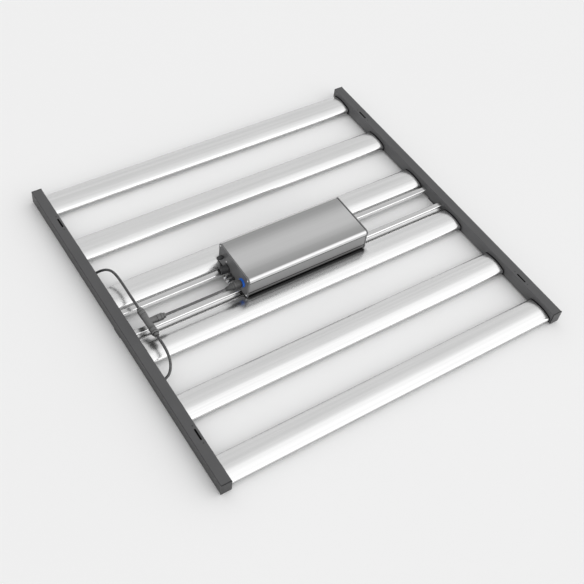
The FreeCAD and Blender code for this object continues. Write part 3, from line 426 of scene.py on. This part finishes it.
def deselect_all():
    if bpy.context.object and bpy.context.object.mode != "OBJECT":
        bpy.ops.object.mode_set(mode="OBJECT")
    bpy.ops.object.select_all(action="DESELECT")


def paint(node, material):
    """Gives a solid part its finish."""
    slots = NODES[node].data.materials
    slots.clear()
    slots.append(material)


def edit(piece, kind="FACE"):
    """Opens a piece in edit mode with nothing selected."""
    deselect_all()
    piece.select_set(True)
    bpy.context.view_layer.objects.active = piece
    bpy.ops.object.mode_set(mode="EDIT")
    bpy.ops.mesh.select_mode(type=kind)
    bpy.ops.mesh.select_all(action="DESELECT")


def pick_faces(piece, wanted):
    """Selects the faces whose middle and normal pass a test, and stops if none does."""
    mesh = bmesh.from_edit_mesh(piece.data)
    for face in mesh.faces:
        face.select = wanted(face.calc_center_median(), face.normal)
    if not any(face.select for face in mesh.faces):
        raise RuntimeError("no face of %s was picked" % piece.name)
    bmesh.update_edit_mesh(piece.data)


def turned(name, profile, centre, axis, steps):
    """A turned piece: its outline, as (along, radius) pairs, spun round an axis."""
    centre, axis = Vector(centre), Vector(axis)
    places = [centre + axis * along + Vector((0, 0, radius)) for along, radius in profile]
    deselect_all()
    bpy.ops.mesh.primitive_plane_add(size=0.001, location=places[0])
    piece = bpy.context.object
    piece.name = piece.data.name = name
    bpy.ops.object.transform_apply(location=True, rotation=True, scale=True)
    edit(piece, "VERT")
    bpy.ops.mesh.select_all(action="SELECT")
    bpy.ops.mesh.merge(type="CENTER")
    for before, place in zip(places, places[1:]):
        bpy.ops.mesh.extrude_region_move(TRANSFORM_OT_translate={"value": place - before})
    bpy.ops.mesh.select_all(action="SELECT")
    bpy.ops.mesh.spin(steps=steps, angle=math.tau, center=centre, axis=axis)
    bpy.ops.mesh.select_all(action="SELECT")
    bpy.ops.mesh.remove_doubles(threshold=1e-6)
    bpy.ops.mesh.normals_make_consistent(inside=False)
    bpy.ops.object.mode_set(mode="OBJECT")
    return piece


def ribs(piece, centre, axis, zone, steps, inset, height):
    """Raises every other side face between two places along the axis into a rib. A bore's
    wall in that zone counts as side faces too, so its ribs narrow the bore."""
    centre, axis = Vector(centre), Vector(axis)
    across = axis.cross(Vector((0, 0, 1))).normalized()

    def wanted(middle, normal):
        offset = middle - centre
        on_side = zone[0] < offset.dot(axis) < zone[1] and abs(normal.dot(axis)) < SIDE
        turn = math.atan2(offset.dot(across), offset.z) / math.tau * steps
        return on_side and math.floor(turn) % 2 == 0

    edit(piece)
    pick_faces(piece, wanted)
    bpy.ops.mesh.inset(thickness=inset, depth=height, use_individual=True)
    bpy.ops.object.mode_set(mode="OBJECT")


def joined(name, pieces):
    """Several pieces made one."""
    deselect_all()
    for piece in pieces:
        piece.select_set(True)
    bpy.context.view_layer.objects.active = pieces[0]
    bpy.ops.object.join()
    pieces[0].name = pieces[0].data.name = name
    return pieces[0]


def copies(piece, offsets):
    """Copies of a piece, each with its own mesh, moved from where it stands."""
    made = []
    for offset in offsets:
        deselect_all()
        piece.select_set(True)
        bpy.context.view_layer.objects.active = piece
        bpy.ops.object.duplicate_move(OBJECT_OT_duplicate={"linked": False},
                                      TRANSFORM_OT_translate={"value": offset})
        bpy.ops.object.transform_apply(location=True, rotation=True, scale=True)
        made.append(bpy.context.object)
    return made


def fit(piece, materials, slot, *nodes, body=None):
    """Puts a finished piece on its body, with its finish, in place of solid parts."""
    deselect_all()
    piece.select_set(True)
    bpy.context.view_layer.objects.active = piece
    bpy.ops.object.shade_smooth_by_angle(angle=math.radians(32))
    for material in materials:
        piece.data.materials.append(material)
    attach(piece, body or on_body(nodes[0]))
    if nodes:
        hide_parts(*nodes)


def second_finish(piece, wanted, sunk=None):
    """Gives the faces that pass a test the piece's second finish, and may sink them first."""
    edit(piece)
    pick_faces(piece, wanted)
    if sunk:
        bpy.ops.mesh.extrude_region_move(TRANSFORM_OT_translate={"value": sunk})
    piece.active_material_index = 1
    bpy.ops.object.material_slot_assign()
    bpy.ops.object.mode_set(mode="OBJECT")


def span(node):
    """A solid part's lowest corner, highest corner and middle."""
    low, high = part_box(node)
    return low, high, (low + high) / 2


def millimetres(*profile):
    """An outline in millimetres, carried to metres."""
    return [(along * MM, radius * MM) for along, radius in profile]


# --- routes of the leads, in metres ------------------------------------------

# Each lead's exit and the points that it is drawn towards on its way.
LEAD_ROUTES = {
    "driver_lead": [
        (-0.25, -0.049, 0.065), (-0.348, -0.049, 0.0635), (-0.447, -0.049, 0.065)],
    "back_branch_lead": [
        (-0.483, -0.013, 0.065), (-0.4835, 0.045, 0.0658), (-0.4825, 0.105, 0.0653),
        (-0.4832, 0.14, 0.062), (-0.486, 0.163, 0.0543), (-0.4923, 0.18, 0.0435),
        (-0.501, 0.1905, 0.0335), (-0.5105, 0.1955, 0.0266), (-0.519, 0.1965, 0.024)],
    "front_branch_lead": [
        (-0.483, -0.085, 0.065), (-0.4829, -0.112, 0.0653), (-0.4822, -0.142, 0.0637),
        (-0.4845, -0.168, 0.0575), (-0.4905, -0.1875, 0.0475), (-0.499, -0.1985, 0.0365),
        (-0.509, -0.203, 0.028), (-0.519, -0.204, 0.024)],
}


# --- what a user may change --------------------------------------------------


def colour_property(name, description, default):
    return FloatVectorProperty(name=name, description=description, default=default,
                               subtype="COLOR", min=0.0, max=1.0, size=3)


class GrowLightColours(bpy.types.PropertyGroup):
    """Colours of the light's finishes."""

    bars: colour_property("Light bars", "Anodised aluminium of the bars", (0.80, 0.80, 0.80))
    rods: colour_property("Rods", "Anodised aluminium of the rods", (0.95, 0.95, 0.95))
    housing: colour_property("Driver housing", "Satin aluminium of the driver",
                             (0.93, 0.93, 0.93))
    rails: colour_property("Rails", "Powder coat of the end rails", (0.086, 0.086, 0.088))
    plates: colour_property("Driver plates", "Coat of the driver's end plates",
                            (0.165, 0.165, 0.168))
    plastic: colour_property("Black plastic", "Fittings, knob, pads and gaskets",
                             (0.042, 0.042, 0.044))
    splitter: colour_property("Splitter", "Grey-black plastic of the splitter", (0.15, 0.15, 0.15))
    cap: colour_property("End caps", "Caps on the rails and bars", (0.010, 0.010, 0.011))
    jacket: colour_property("Lead jacket", "Jacket of the leads", (0.042, 0.042, 0.044))
    seal: colour_property("Seal ring", "Ring round the driver's output", (0.02, 0.17, 0.78))


class GrowLightSizes(bpy.types.PropertyGroup):
    """Sizes of the detail that the solid parts leave out."""

    lead_diameter: FloatProperty(name="Lead diameter", description="Across a lead's jacket",
                                 default=0.0075, unit="LENGTH", subtype="DISTANCE")
    screw_radius: FloatProperty(name="Screw head radius", description="Plate screws' heads",
                                default=0.0028, unit="LENGTH", subtype="DISTANCE")


class GrowLightStage(bpy.types.PropertyGroup):
    """The floor, the lights and the camera."""

    floor: colour_property("Floor", "Pale floor under the light", (0.93, 0.93, 0.93))
    sky: FloatProperty(name="Sky", description="Strength of the light from the far side",
                       default=0.76)
    overhead: FloatProperty(name="Overhead", description="Strength of the bright field overhead",
                            default=1.25)
    field_edge: FloatProperty(name="Field edge", description="Where the bright field ends",
                              default=0.25)
    front_strip: FloatProperty(name="Front strip", description="Extra light low in front",
                               default=0.35)
    weak_side: FloatProperty(name="Weak side", description="Share of light from the rail's side",
                             default=0.45)
    camera_place: FloatVectorProperty(name="Camera", description="Where the camera stands",
                                      default=(-1.1745, -1.4385, 2.0739), size=3,
                                      subtype="TRANSLATION", unit="LENGTH")
    camera_turn: FloatVectorProperty(name="Camera turn", description="How the camera is turned",
                                     default=tuple(map(math.radians, (39.682, -5.783, -32.825))),
                                     size=3, subtype="EULER", unit="ROTATION")
    camera_lens: FloatProperty(name="Lens", description="Focal length of the camera",
                               default=59.63, unit="CAMERA")


# --- operators ---------------------------------------------------------------


class GROWLIGHT_OT_rails(bpy.types.Operator):
    """Finish the two end rails with their caps, pads, hangers and screws"""

    bl_idname = "growlight.rails"
    bl_label = "End rails"

    def execute(self, context):
        colours = context.scene.growlight_colours
        lift = 1.5    # makes up for the painted shade laid over the coat
        coat = powder_coat("rail_powder_coat", shade(colours.rails, lift), tone=rail_painted_shade)
        cap = moulded_plastic("rail_cap_plastic", colours.cap)
        rubber = soft_rubber("black_rubber", colours.plastic)
        steel = zinc_steel("zinc_plate", (0.72, 0.72, 0.72))
        for node in ("left_rail", "right_rail"):
            paint(node, coat)
        paint("rail_end_caps", cap)
        for node in ("rail_pads", "rail_grommets"):
            paint(node, rubber)
        hanger = powder_coat("hanger_coat", (0.02, 0.02, 0.02))
        for node in ("hanger_plates", "hanger_rivets"):
            paint(node, hanger)
        paint("rail_screws", steel)
        paint("rail_harness", cable_jacket("harness_jacket", colours.jacket))
        return {"FINISHED"}


class GROWLIGHT_OT_bars(bpy.types.Operator):
    """Finish the six light bars with their boards, covers and end caps"""

    bl_idname = "growlight.bars"
    bl_label = "Light bars"

    def execute(self, context):
        colours = context.scene.growlight_colours
        metal = drawn_aluminium("bar_aluminium", colours.bars, 0.24, tone=bar_painted_shade)
        cap = moulded_plastic("bar_cap_plastic", colours.cap)
        board = solder_mask("white_board", (0.78, 0.78, 0.76, 1), (0.62, 0.62, 0.6, 1))
        cover = frosted_cover("frosted_cover")
        package = moulded_plastic("diode_package", (0.8, 0.8, 0.78), 0.35)
        resin = diode_resin("diode_resin")
        first = self.diodes("bar_1_led_board")
        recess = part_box("bar_1_led_board")[0].z - 0.0006    # between a chip's rim and window
        for number in range(1, BAR_COUNT + 1):
            name = "bar_%d_" % number
            paint(name + "heat_sink", metal)
            paint(name + "end_caps", cap)
            paint(name + "led_board", board)
            paint(name + "lens", cover)
            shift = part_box(name + "led_board")[0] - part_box("bar_1_led_board")[0]
            row = copies(first, [shift])[0] if number > 1 else first
            row.name = row.data.name = name + "diodes"
            fit(row, [package, resin], "led_board", body=on_body(name + "led_board"))
            second_finish(row, lambda middle, normal: normal.z < -FACING and middle.z > recess)
        return {"FINISHED"}

    def diodes(self, board):
        """Four rows of diodes under a board, each with a sunk window of resin."""
        low, high, middle = span(board)
        size, rise = 0.0028, 0.0007
        rows, gap, pitch = 4, 0.016, 0.0175
        window_rim, window_depth = 0.0004, 0.0002
        count = int((high.x - low.x - pitch) / pitch)
        start = (middle.x - (count - 1) * pitch / 2, middle.y - (rows - 1) * gap / 2,
                 low.z - rise / 2)
        deselect_all()
        bpy.ops.mesh.primitive_cube_add(size=1, location=start, scale=(size, size, rise))
        chip = bpy.context.object
        bpy.ops.object.transform_apply(location=True, rotation=True, scale=True)
        edit(chip)
        pick_faces(chip, lambda middle, normal: normal.z < -FACING)
        bpy.ops.mesh.inset(thickness=window_rim, depth=-window_depth)
        bpy.ops.object.mode_set(mode="OBJECT")
        for number, offset in ((count, (pitch, 0, 0)), (rows, (0, gap, 0))):
            bpy.ops.object.modifier_add(type="ARRAY")
            array = chip.modifiers[-1]
            array.count = number
            array.use_relative_offset = False
            array.use_constant_offset = True
            array.constant_offset_displace = offset
            bpy.ops.object.modifier_apply(modifier=array.name)
        return chip


class GROWLIGHT_OT_driver(bpy.types.Operator):
    """Finish the driver, its two rods, its plates and what is inside it"""

    bl_idname = "growlight.driver"
    bl_label = "Driver"

    def execute(self, context):
        colours = context.scene.growlight_colours
        paint("driver_housing", drawn_aluminium("driver_aluminium", colours.housing, 0.36, 0.03,
                                                tone=housing_painted_light))
        rod = drawn_aluminium("rod_aluminium", colours.rods, 0.22, tone=rod_painted_light)
        plate = powder_coat("plate_coat", colours.plates, 0.4)
        for node in ("front_driver_rod", "back_driver_rod"):
            paint(node, rod)
        for node in ("driver_left_plate", "driver_right_plate"):
            paint(node, plate)
        paint("driver_gaskets", soft_rubber("gasket_rubber", colours.plastic))
        green = (0.03, 0.16, 0.07, 1)
        paint("driver_circuit_board", solder_mask("green_board", green, (0.08, 0.3, 0.14, 1)))
        paint("driver_transformer", moulded_plastic("ferrite", (0.05, 0.05, 0.05), 0.6, 900.0))
        paint("driver_capacitors", moulded_plastic("capacitor_sleeve", (0.02, 0.03, 0.08), 0.3))
        return {"FINISHED"}


class GROWLIGHT_OT_screws(bpy.types.Operator):
    """Model the cross-head screws of the driver's plates"""

    bl_idname = "growlight.screws"
    bl_label = "Driver screws"

    def execute(self, context):
        zinc = zinc_steel("driver_screw_zinc", (0.95, 0.95, 0.95), 0.3)
        earth_across, earth_up = 0.037, 0.063
        low, high, _ = span("driver_screws")
        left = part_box("driver_left_plate")[0].x
        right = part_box("driver_right_plate")[1].x
        radius = context.scene.growlight_sizes.screw_radius
        heads = []
        for face, outward in ((left, LEFTWARDS), (right, -LEFTWARDS)):
            corner = Vector((face, low.y + radius, low.z + radius))
            head = self.head(corner, outward, radius)
            across, up = high.y - low.y - 2 * radius, high.z - low.z - 2 * radius
            heads += [head, *copies(head, [(0, across, 0), (0, 0, up), (0, across, up)])]
        earth = self.head(Vector((left, earth_across, earth_up)), LEFTWARDS, radius)
        screws = joined("plate_screws", [*heads, earth])
        fit(screws, [zinc], "bright_steel", "driver_screws")
        return {"FINISHED"}

    def head(self, centre, outward, radius):
        """A domed head with a cross recess, and its shank."""
        shank, recess = 0.006, 0.0009
        arms, arm_width, arm_reach, hub = 4, 0.13, radius * 0.66, radius * 0.2
        dome = 0.7    # the least share of a dome face's normal along the screw
        profile = [(-shank, 0), (-shank, radius * 0.5), (0, radius * 0.52), (0, radius),
                   (0.0007, radius * 0.97), (0.0013, radius * 0.8), (0.00165, radius * 0.58),
                   (0.00178, radius * 0.2), (0.0018, 0)]
        screw = turned("screw", profile, centre, outward, 32)

        def cross(middle, normal):
            offset = middle - centre
            turn = math.atan2(offset.y, offset.z) / math.tau * arms
            out = math.hypot(offset.y, offset.z)
            in_arm = abs(turn - round(turn)) < arm_width and out < arm_reach
            return normal.dot(outward) > dome and (out < hub or in_arm)

        edit(screw)
        pick_faces(screw, cross)
        bpy.ops.mesh.extrude_region_move(TRANSFORM_OT_translate={"value": outward * -recess})
        bpy.ops.object.mode_set(mode="OBJECT")
        return screw


class GROWLIGHT_OT_fittings(bpy.types.Operator):
    """Model the inlet, jacks, knob, seal and plug on the driver's plate"""

    bl_idname = "growlight.fittings"
    bl_label = "Driver fittings"

    def execute(self, context):
        colours = context.scene.growlight_colours
        plastic = moulded_plastic("fitting_plastic", colours.plastic)
        grey = moulded_plastic("grey_plastic", (0.22, 0.22, 0.22), 0.4)
        steel = zinc_steel("fitting_zinc", (0.88, 0.88, 0.88))
        for node in ("output_socket", "dimmer_potentiometer"):
            paint(node, plastic)
        for node in ("inlet_pins", "dimmer_shaft"):
            paint(node, steel)
        self.knob(plastic)
        self.inlet(plastic, grey)
        self.jacks(plastic, steel)
        self.seal(moulded_plastic("blue_seal", colours.seal, 0.3))
        # painted shade on the lower halves of the output ring and plug
        _, high, middle = span("output_locking_ring")
        shaded_plug_plastic = moulded_plastic("plug_plastic", shade(colours.splitter, 0.6),
                                painted_shade_heights=(middle.z - 0.002, high.z))
        self.output_ring(shaded_plug_plastic)
        self.plug(shaded_plug_plastic)
        return {"FINISHED"}

    def knob(self, plastic):
        low, high, middle = span("dimmer_knob")
        centre = (high.x, middle.y, middle.z)
        long, radius = (high.x - low.x) / MM, (high.y - low.y) / 2 / MM
        socket, floor = 3.1, long - 3.2
        profile = millimetres(
            (0, socket), (0, radius - 0.7), (1.4, radius - 0.5), (long - 1.2, radius - 0.9),
            (long - 0.3, radius - 1.2), (long, radius - 1.8), (long, 0.6), (long - 0.4, 0),
            (floor, 0), (floor, socket), (0, socket))
        knob = turned("ribbed_knob", profile, centre, LEFTWARDS, 36)
        ribs(knob, centre, LEFTWARDS, (0.0014, (long - 1.1) * MM), 36, 0.00016, 0.0005)
        pale = moulded_plastic("pointer_white", (0.7, 0.7, 0.7), 0.4)
        fit(knob, [plastic, pale], "black_plastic", "dimmer_knob")

        def pointer(at, normal):
            on_face = normal.x < -FACING and at.x < low.x + 0.5 * MM
            return on_face and at.z > middle.z + 1 * MM and abs(at.y - middle.y) < 0.4 * MM

        second_finish(knob, pointer, sunk=(0.8 * MM, 0, 0))

    def inlet(self, plastic, grey):
        low, _, middle = span("mains_inlet")
        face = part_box("driver_left_plate")[0].x
        centre = (face, middle.y, middle.z)
        reach = (face - low.x) / MM
        back, flange, barrel, bore, floor = -12, 14.2, 11.4, 9.3, 14
        profile = millimetres(
            (back, 6), (back, 9.9), (0, 9.9), (0, flange), (3.2, flange), (3.4, 12),
            (4.6, barrel), (reach - 5, barrel), (reach - 4.6, 11.9), (reach - 0.6, 11.9),
            (reach, barrel), (reach, 9.6), (reach - 0.6, bore), (floor, bore), (floor, 0),
            (back, 0), (back, 6))
        inlet = turned("round_mains_inlet", profile, centre, LEFTWARDS, 48)
        ribs(inlet, centre, LEFTWARDS, (0.0002, 0.0032), 48, 0.0002, 0.0004)
        ribs(inlet, centre, LEFTWARDS, (0.005, (reach - 5) * MM), 48, 0.00015, 0.00035)
        fit(inlet, [plastic, grey], "black_plastic", "mains_inlet")

        def bore_floor(at, normal):
            return normal.x < -FACING and abs(at.x - face + floor * MM) < 0.2 * MM

        second_finish(inlet, bore_floor)

    def jacks(self, plastic, steel):
        low, high, middle = span("control_jacks")
        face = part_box("driver_left_plate")[0].x
        collar, steel_tip = 5.6 * MM, 5.8 * MM
        reach = (face - low.x) / MM
        pitch = high.y - low.y - 2 * collar
        centre = Vector((face, low.y + collar, middle.z))
        nut = turned("jack_nut", millimetres(
            (0, 3), (0, 5.3), (0.4, 5.6), (3.6, 5.6), (4, 5.2), (4, 3), (0, 3)),
            centre, LEFTWARDS, 24)
        ribs(nut, centre, LEFTWARDS, (0.0005, 0.0036), 24, 0.00015, -0.0003)
        shell = turned("jack_shell", millimetres(
            (-8, 0), (-8, 2.9), (3, 2.9), (4.2, 3.5), (reach - 6, 3.5), (reach - 5.6, 3.9),
            (reach - 0.5, 3.9), (reach, 3.5), (reach, 2.3), (reach - 0.4, 2.1),
            (reach - 11, 2.1), (reach - 11, 0), (-8, 0)),
            centre, LEFTWARDS, 24)
        nuts = joined("jack_nuts", [nut, *copies(nut, [(0, pitch, 0)])])
        shells = joined("jack_shells", [shell, *copies(shell, [(0, pitch, 0)])])
        fit(nuts, [plastic], "black_plastic", body=MAIN_BODY)
        fit(shells, [plastic, steel], "black_plastic", "control_jacks")
        second_finish(shells, lambda at, normal: at.x < low.x + steel_tip)

    def seal(self, silicone):
        low, high, middle = span("blue_seal_ring")
        radius, thick = (high.y - low.y) / 2 / MM, (high.x - low.x) / MM
        bore, groove = 9.6, radius - 0.5
        profile = millimetres(
            (0, bore), (0, radius - 0.3), (0.5, radius), (1.6, radius), (2, groove), (2.6, groove),
            (3, radius), (thick - 0.6, radius), (thick, radius - 0.6), (thick, bore), (0, bore))
        seal = turned("output_seal", profile, (high.x, middle.y, middle.z), LEFTWARDS, 40)
        fit(seal, [silicone], "blue_seal", "blue_seal_ring")

    def output_ring(self, plastic):
        low, high, middle = span("output_locking_ring")
        radius, long = (high.y - low.y) / 2 / MM, (high.x - low.x) / MM
        centre = (high.x, middle.y, middle.z)
        bore, waist = 9.8, radius - 1.3
        profile = millimetres(
            (0, bore), (0, radius - 1), (0.8, radius - 0.6), (3.4, radius - 0.6), (3.6, waist),
            (long - 6.4, waist), (long - 6.2, radius - 0.4), (long - 1, radius - 0.4),
            (long, radius - 1.4), (long, bore), (0, bore))
        ring = turned("output_ribbed_ring", profile, centre, LEFTWARDS, 32)
        ribs(ring, centre, LEFTWARDS, (0.0036, (long - 6.4) * MM), 32, 0.0003, 0.0012)
        fit(ring, [plastic], "black_plastic", "output_locking_ring")

    def plug(self, plastic):
        low, high, middle = span("output_plug")
        grip, long = (high.y - low.y) / 2 / MM, (high.x - low.x) / MM
        centre = (high.x, middle.y, middle.z)
        nose, tail = 9.4, 5.5
        grooves, first_groove, shoulder = 4, 18.6, grip - 1.6
        groove = (long - 20) / grooves
        profile = [(0, 0), (0, nose), (12, nose), (12.4, grip - 0.6), (13, grip), (17.4, grip),
                   (18, grip - 0.9)]
        for count in range(grooves):
            along = first_groove + count * groove
            radius = shoulder - count * (shoulder - tail) / grooves
            profile += [(along, radius), (along + groove * 0.55, radius - 0.5),
                        (along + groove * 0.6, radius - 1.2), (along + groove * 0.95, radius - 1.3)]
        profile += [(long - 0.8, tail), (long, tail - 0.4), (long, 0)]
        plug = turned("output_plug_body", millimetres(*profile), centre, LEFTWARDS, 32)
        ribs(plug, centre, LEFTWARDS, (0.013, 0.0174), 32, 0.0002, -0.0006)
        fit(plug, [plastic], "black_plastic", "output_plug")


def seams(hub, axis):
    """A test for the faces in a splitter ring's two grooves and at its mouth."""
    zones, outside = ((24.5, 26.1), (35.9, 37.5), (42.9, 44.7)), 9.3

    def wanted(middle, normal):
        offset = middle - hub
        along = offset.dot(axis) / MM
        radius = (offset - axis * offset.dot(axis)).length / MM
        return any(start < along < end for start, end in zones) and radius < outside

    return wanted


class GROWLIGHT_OT_splitter(bpy.types.Operator):
    """Model the three-way splitter and its quarter-turn rings"""

    bl_idname = "growlight.splitter"
    bl_label = "Splitter"

    def execute(self, context):
        low, high, middle = span("splitter_body")
        # painted shade on the splitter's lower half, fading out 8 mm above its axis
        plastic = moulded_plastic("splitter_plastic", context.scene.growlight_colours.splitter,
                                  painted_shade_heights=(middle.z, middle.z + 8 * MM))
        dark = moulded_plastic("seam_shadow", (0.006, 0.006, 0.006), 0.6)
        paint("splitter_body", plastic)
        radius = (high.z - low.z) / 2
        hub = Vector((low.x + radius, middle.y, middle.z))
        bands = []
        for node, axis in (("splitter_driver_ring", (1, 0, 0)), ("splitter_back_ring", (0, 1, 0)),
                           ("splitter_front_ring", (0, -1, 0))):
            axis = Vector(axis)
            edge = radius / MM
            bore, rim, groove, lead_hole = 7.9, 9.6, 8.8, 4.4
            band = turned("band", millimetres(
                (17.6, edge - 1), (17.6, edge), (17.9, edge + 0.4), (20.6, edge + 0.4), (21, edge),
                (21, edge - 1), (17.6, edge - 1)), hub, axis, 32)
            bands.append(band)
            profile = millimetres(
                (22, bore), (22, rim), (22.4, 10), (24.6, 10), (24.8, groove), (25.8, groove),
                (26, rim), (36, rim), (36.2, groove), (37.2, groove), (37.4, 10),
                (42, 10), (42.8, 9.4), (43.2, 8), (44.6, 7.8), (46, 7.7), (46.2, 7.1),
                (47.2, 7.1), (47.4, 7.5), (49.5, 7.3), (50, 6.8), (50, lead_hole),
                (36.6, lead_hole), (36.6, bore), (22, bore))
            ring = turned(node + "_ribbed", profile, hub, axis, 32)
            ribs(ring, hub, axis, (0.0259, 0.0361), 32, 0.0003, 0.0004)
            fit(ring, [plastic, dark], "black_plastic", node)
            second_finish(ring, seams(hub, axis))
        fit(joined("splitter_bands", bands), [plastic], "black_plastic", body=MAIN_BODY)
        return {"FINISHED"}


class GROWLIGHT_OT_leads(bpy.types.Operator):
    """Lay the three leads between the driver, the splitter and the rail"""

    bl_idname = "growlight.leads"
    bl_label = "Leads"

    def execute(self, context):
        diameter = context.scene.growlight_sizes.lead_diameter
        jacket = cable_jacket("lead_jacket", context.scene.growlight_colours.jacket)
        for node, route in LEAD_ROUTES.items():
            line = bpy.data.curves.new(node + "_jacket", "CURVE")
            line.dimensions = "3D"
            line.bevel_depth = diameter / 2
            line.bevel_resolution = 6
            line.resolution_u = 16
            line.use_fill_caps = True
            spline = line.splines.new("NURBS")
            spline.points.add(len(route) - 1)
            for point, place in zip(spline.points, route):
                point.co = (*place, 1.0)
            spline.order_u = 3
            spline.use_endpoint_u = True
            lead = bpy.data.objects.new(node + "_jacket", line)
            context.scene.collection.objects.link(lead)
            line.materials.append(jacket)
            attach(lead, MAIN_BODY)
            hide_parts(node)
        return {"FINISHED"}


class GROWLIGHT_OT_stage(bpy.types.Operator):
    """Set the floor, the soft lights and the camera"""

    bl_idname = "growlight.stage"
    bl_label = "Stage"

    def execute(self, context):
        scene = context.scene
        stage = scene.growlight_stage
        deselect_all()
        drop = 0.0002    # keeps the floor clear of the pads' undersides
        bpy.ops.mesh.primitive_plane_add(size=40.0, location=(0, 0, -drop))
        floor = context.object
        floor.name = "floor"
        pale = Finish("pale_floor", roughness=0.7, specular_level=0.2)
        cloud = pale.noise(0.8, 2.0)
        pale.set("Base Color", pale.blend(cloud, shade(stage.floor, 0.99),
                                          shade(stage.floor, 1.01)))
        floor.data.materials.append(pale.material)
        scene.world = studio_world(stage)
        lens = bpy.data.cameras.new("camera")
        lens.lens = stage.camera_lens
        lens.clip_end = 100.0
        camera = bpy.data.objects.new("camera", lens)
        scene.collection.objects.link(camera)
        camera.location = stage.camera_place
        camera.rotation_euler = stage.camera_turn
        scene.camera = camera
        scene.view_settings.view_transform = "Standard"
        return {"FINISHED"}


OPERATORS = (GROWLIGHT_OT_stage, GROWLIGHT_OT_leads, GROWLIGHT_OT_rails, GROWLIGHT_OT_bars,
             GROWLIGHT_OT_driver, GROWLIGHT_OT_screws, GROWLIGHT_OT_fittings,
             GROWLIGHT_OT_splitter)


class GROWLIGHT_PT_panel(bpy.types.Panel):
    """Lists the light's sizes, colours and pieces"""

    bl_idname = "GROWLIGHT_PT_panel"
    bl_label = "LED grow light"
    bl_space_type = "VIEW_3D"
    bl_region_type = "UI"
    bl_category = "Grow Light"

    def draw(self, context):
        for group in (context.scene.growlight_sizes, context.scene.growlight_colours,
                      context.scene.growlight_stage):
            box = self.layout.box()
            for name in group.__annotations__:
                box.prop(group, name)
        for operator in OPERATORS:
            self.layout.operator(operator.bl_idname)


CLASSES = (GrowLightColours, GrowLightSizes, GrowLightStage, *OPERATORS, GROWLIGHT_PT_panel)


def register():
    for item in CLASSES:
        bpy.utils.register_class(item)
    bpy.types.Scene.growlight_colours = PointerProperty(type=GrowLightColours)
    bpy.types.Scene.growlight_sizes = PointerProperty(type=GrowLightSizes)
    bpy.types.Scene.growlight_stage = PointerProperty(type=GrowLightStage)


def unregister():
    del bpy.types.Scene.growlight_stage
    del bpy.types.Scene.growlight_sizes
    del bpy.types.Scene.growlight_colours
    for item in reversed(CLASSES):
        bpy.utils.unregister_class(item)


def main():
    register()
    bpy.ops.growlight.stage()
    bpy.ops.growlight.leads()
    bpy.ops.growlight.rails()
    bpy.ops.growlight.bars()
    bpy.ops.growlight.driver()
    bpy.ops.growlight.screws()
    bpy.ops.growlight.fittings()
    bpy.ops.growlight.splitter()


if __name__ == "__main__":
    main()
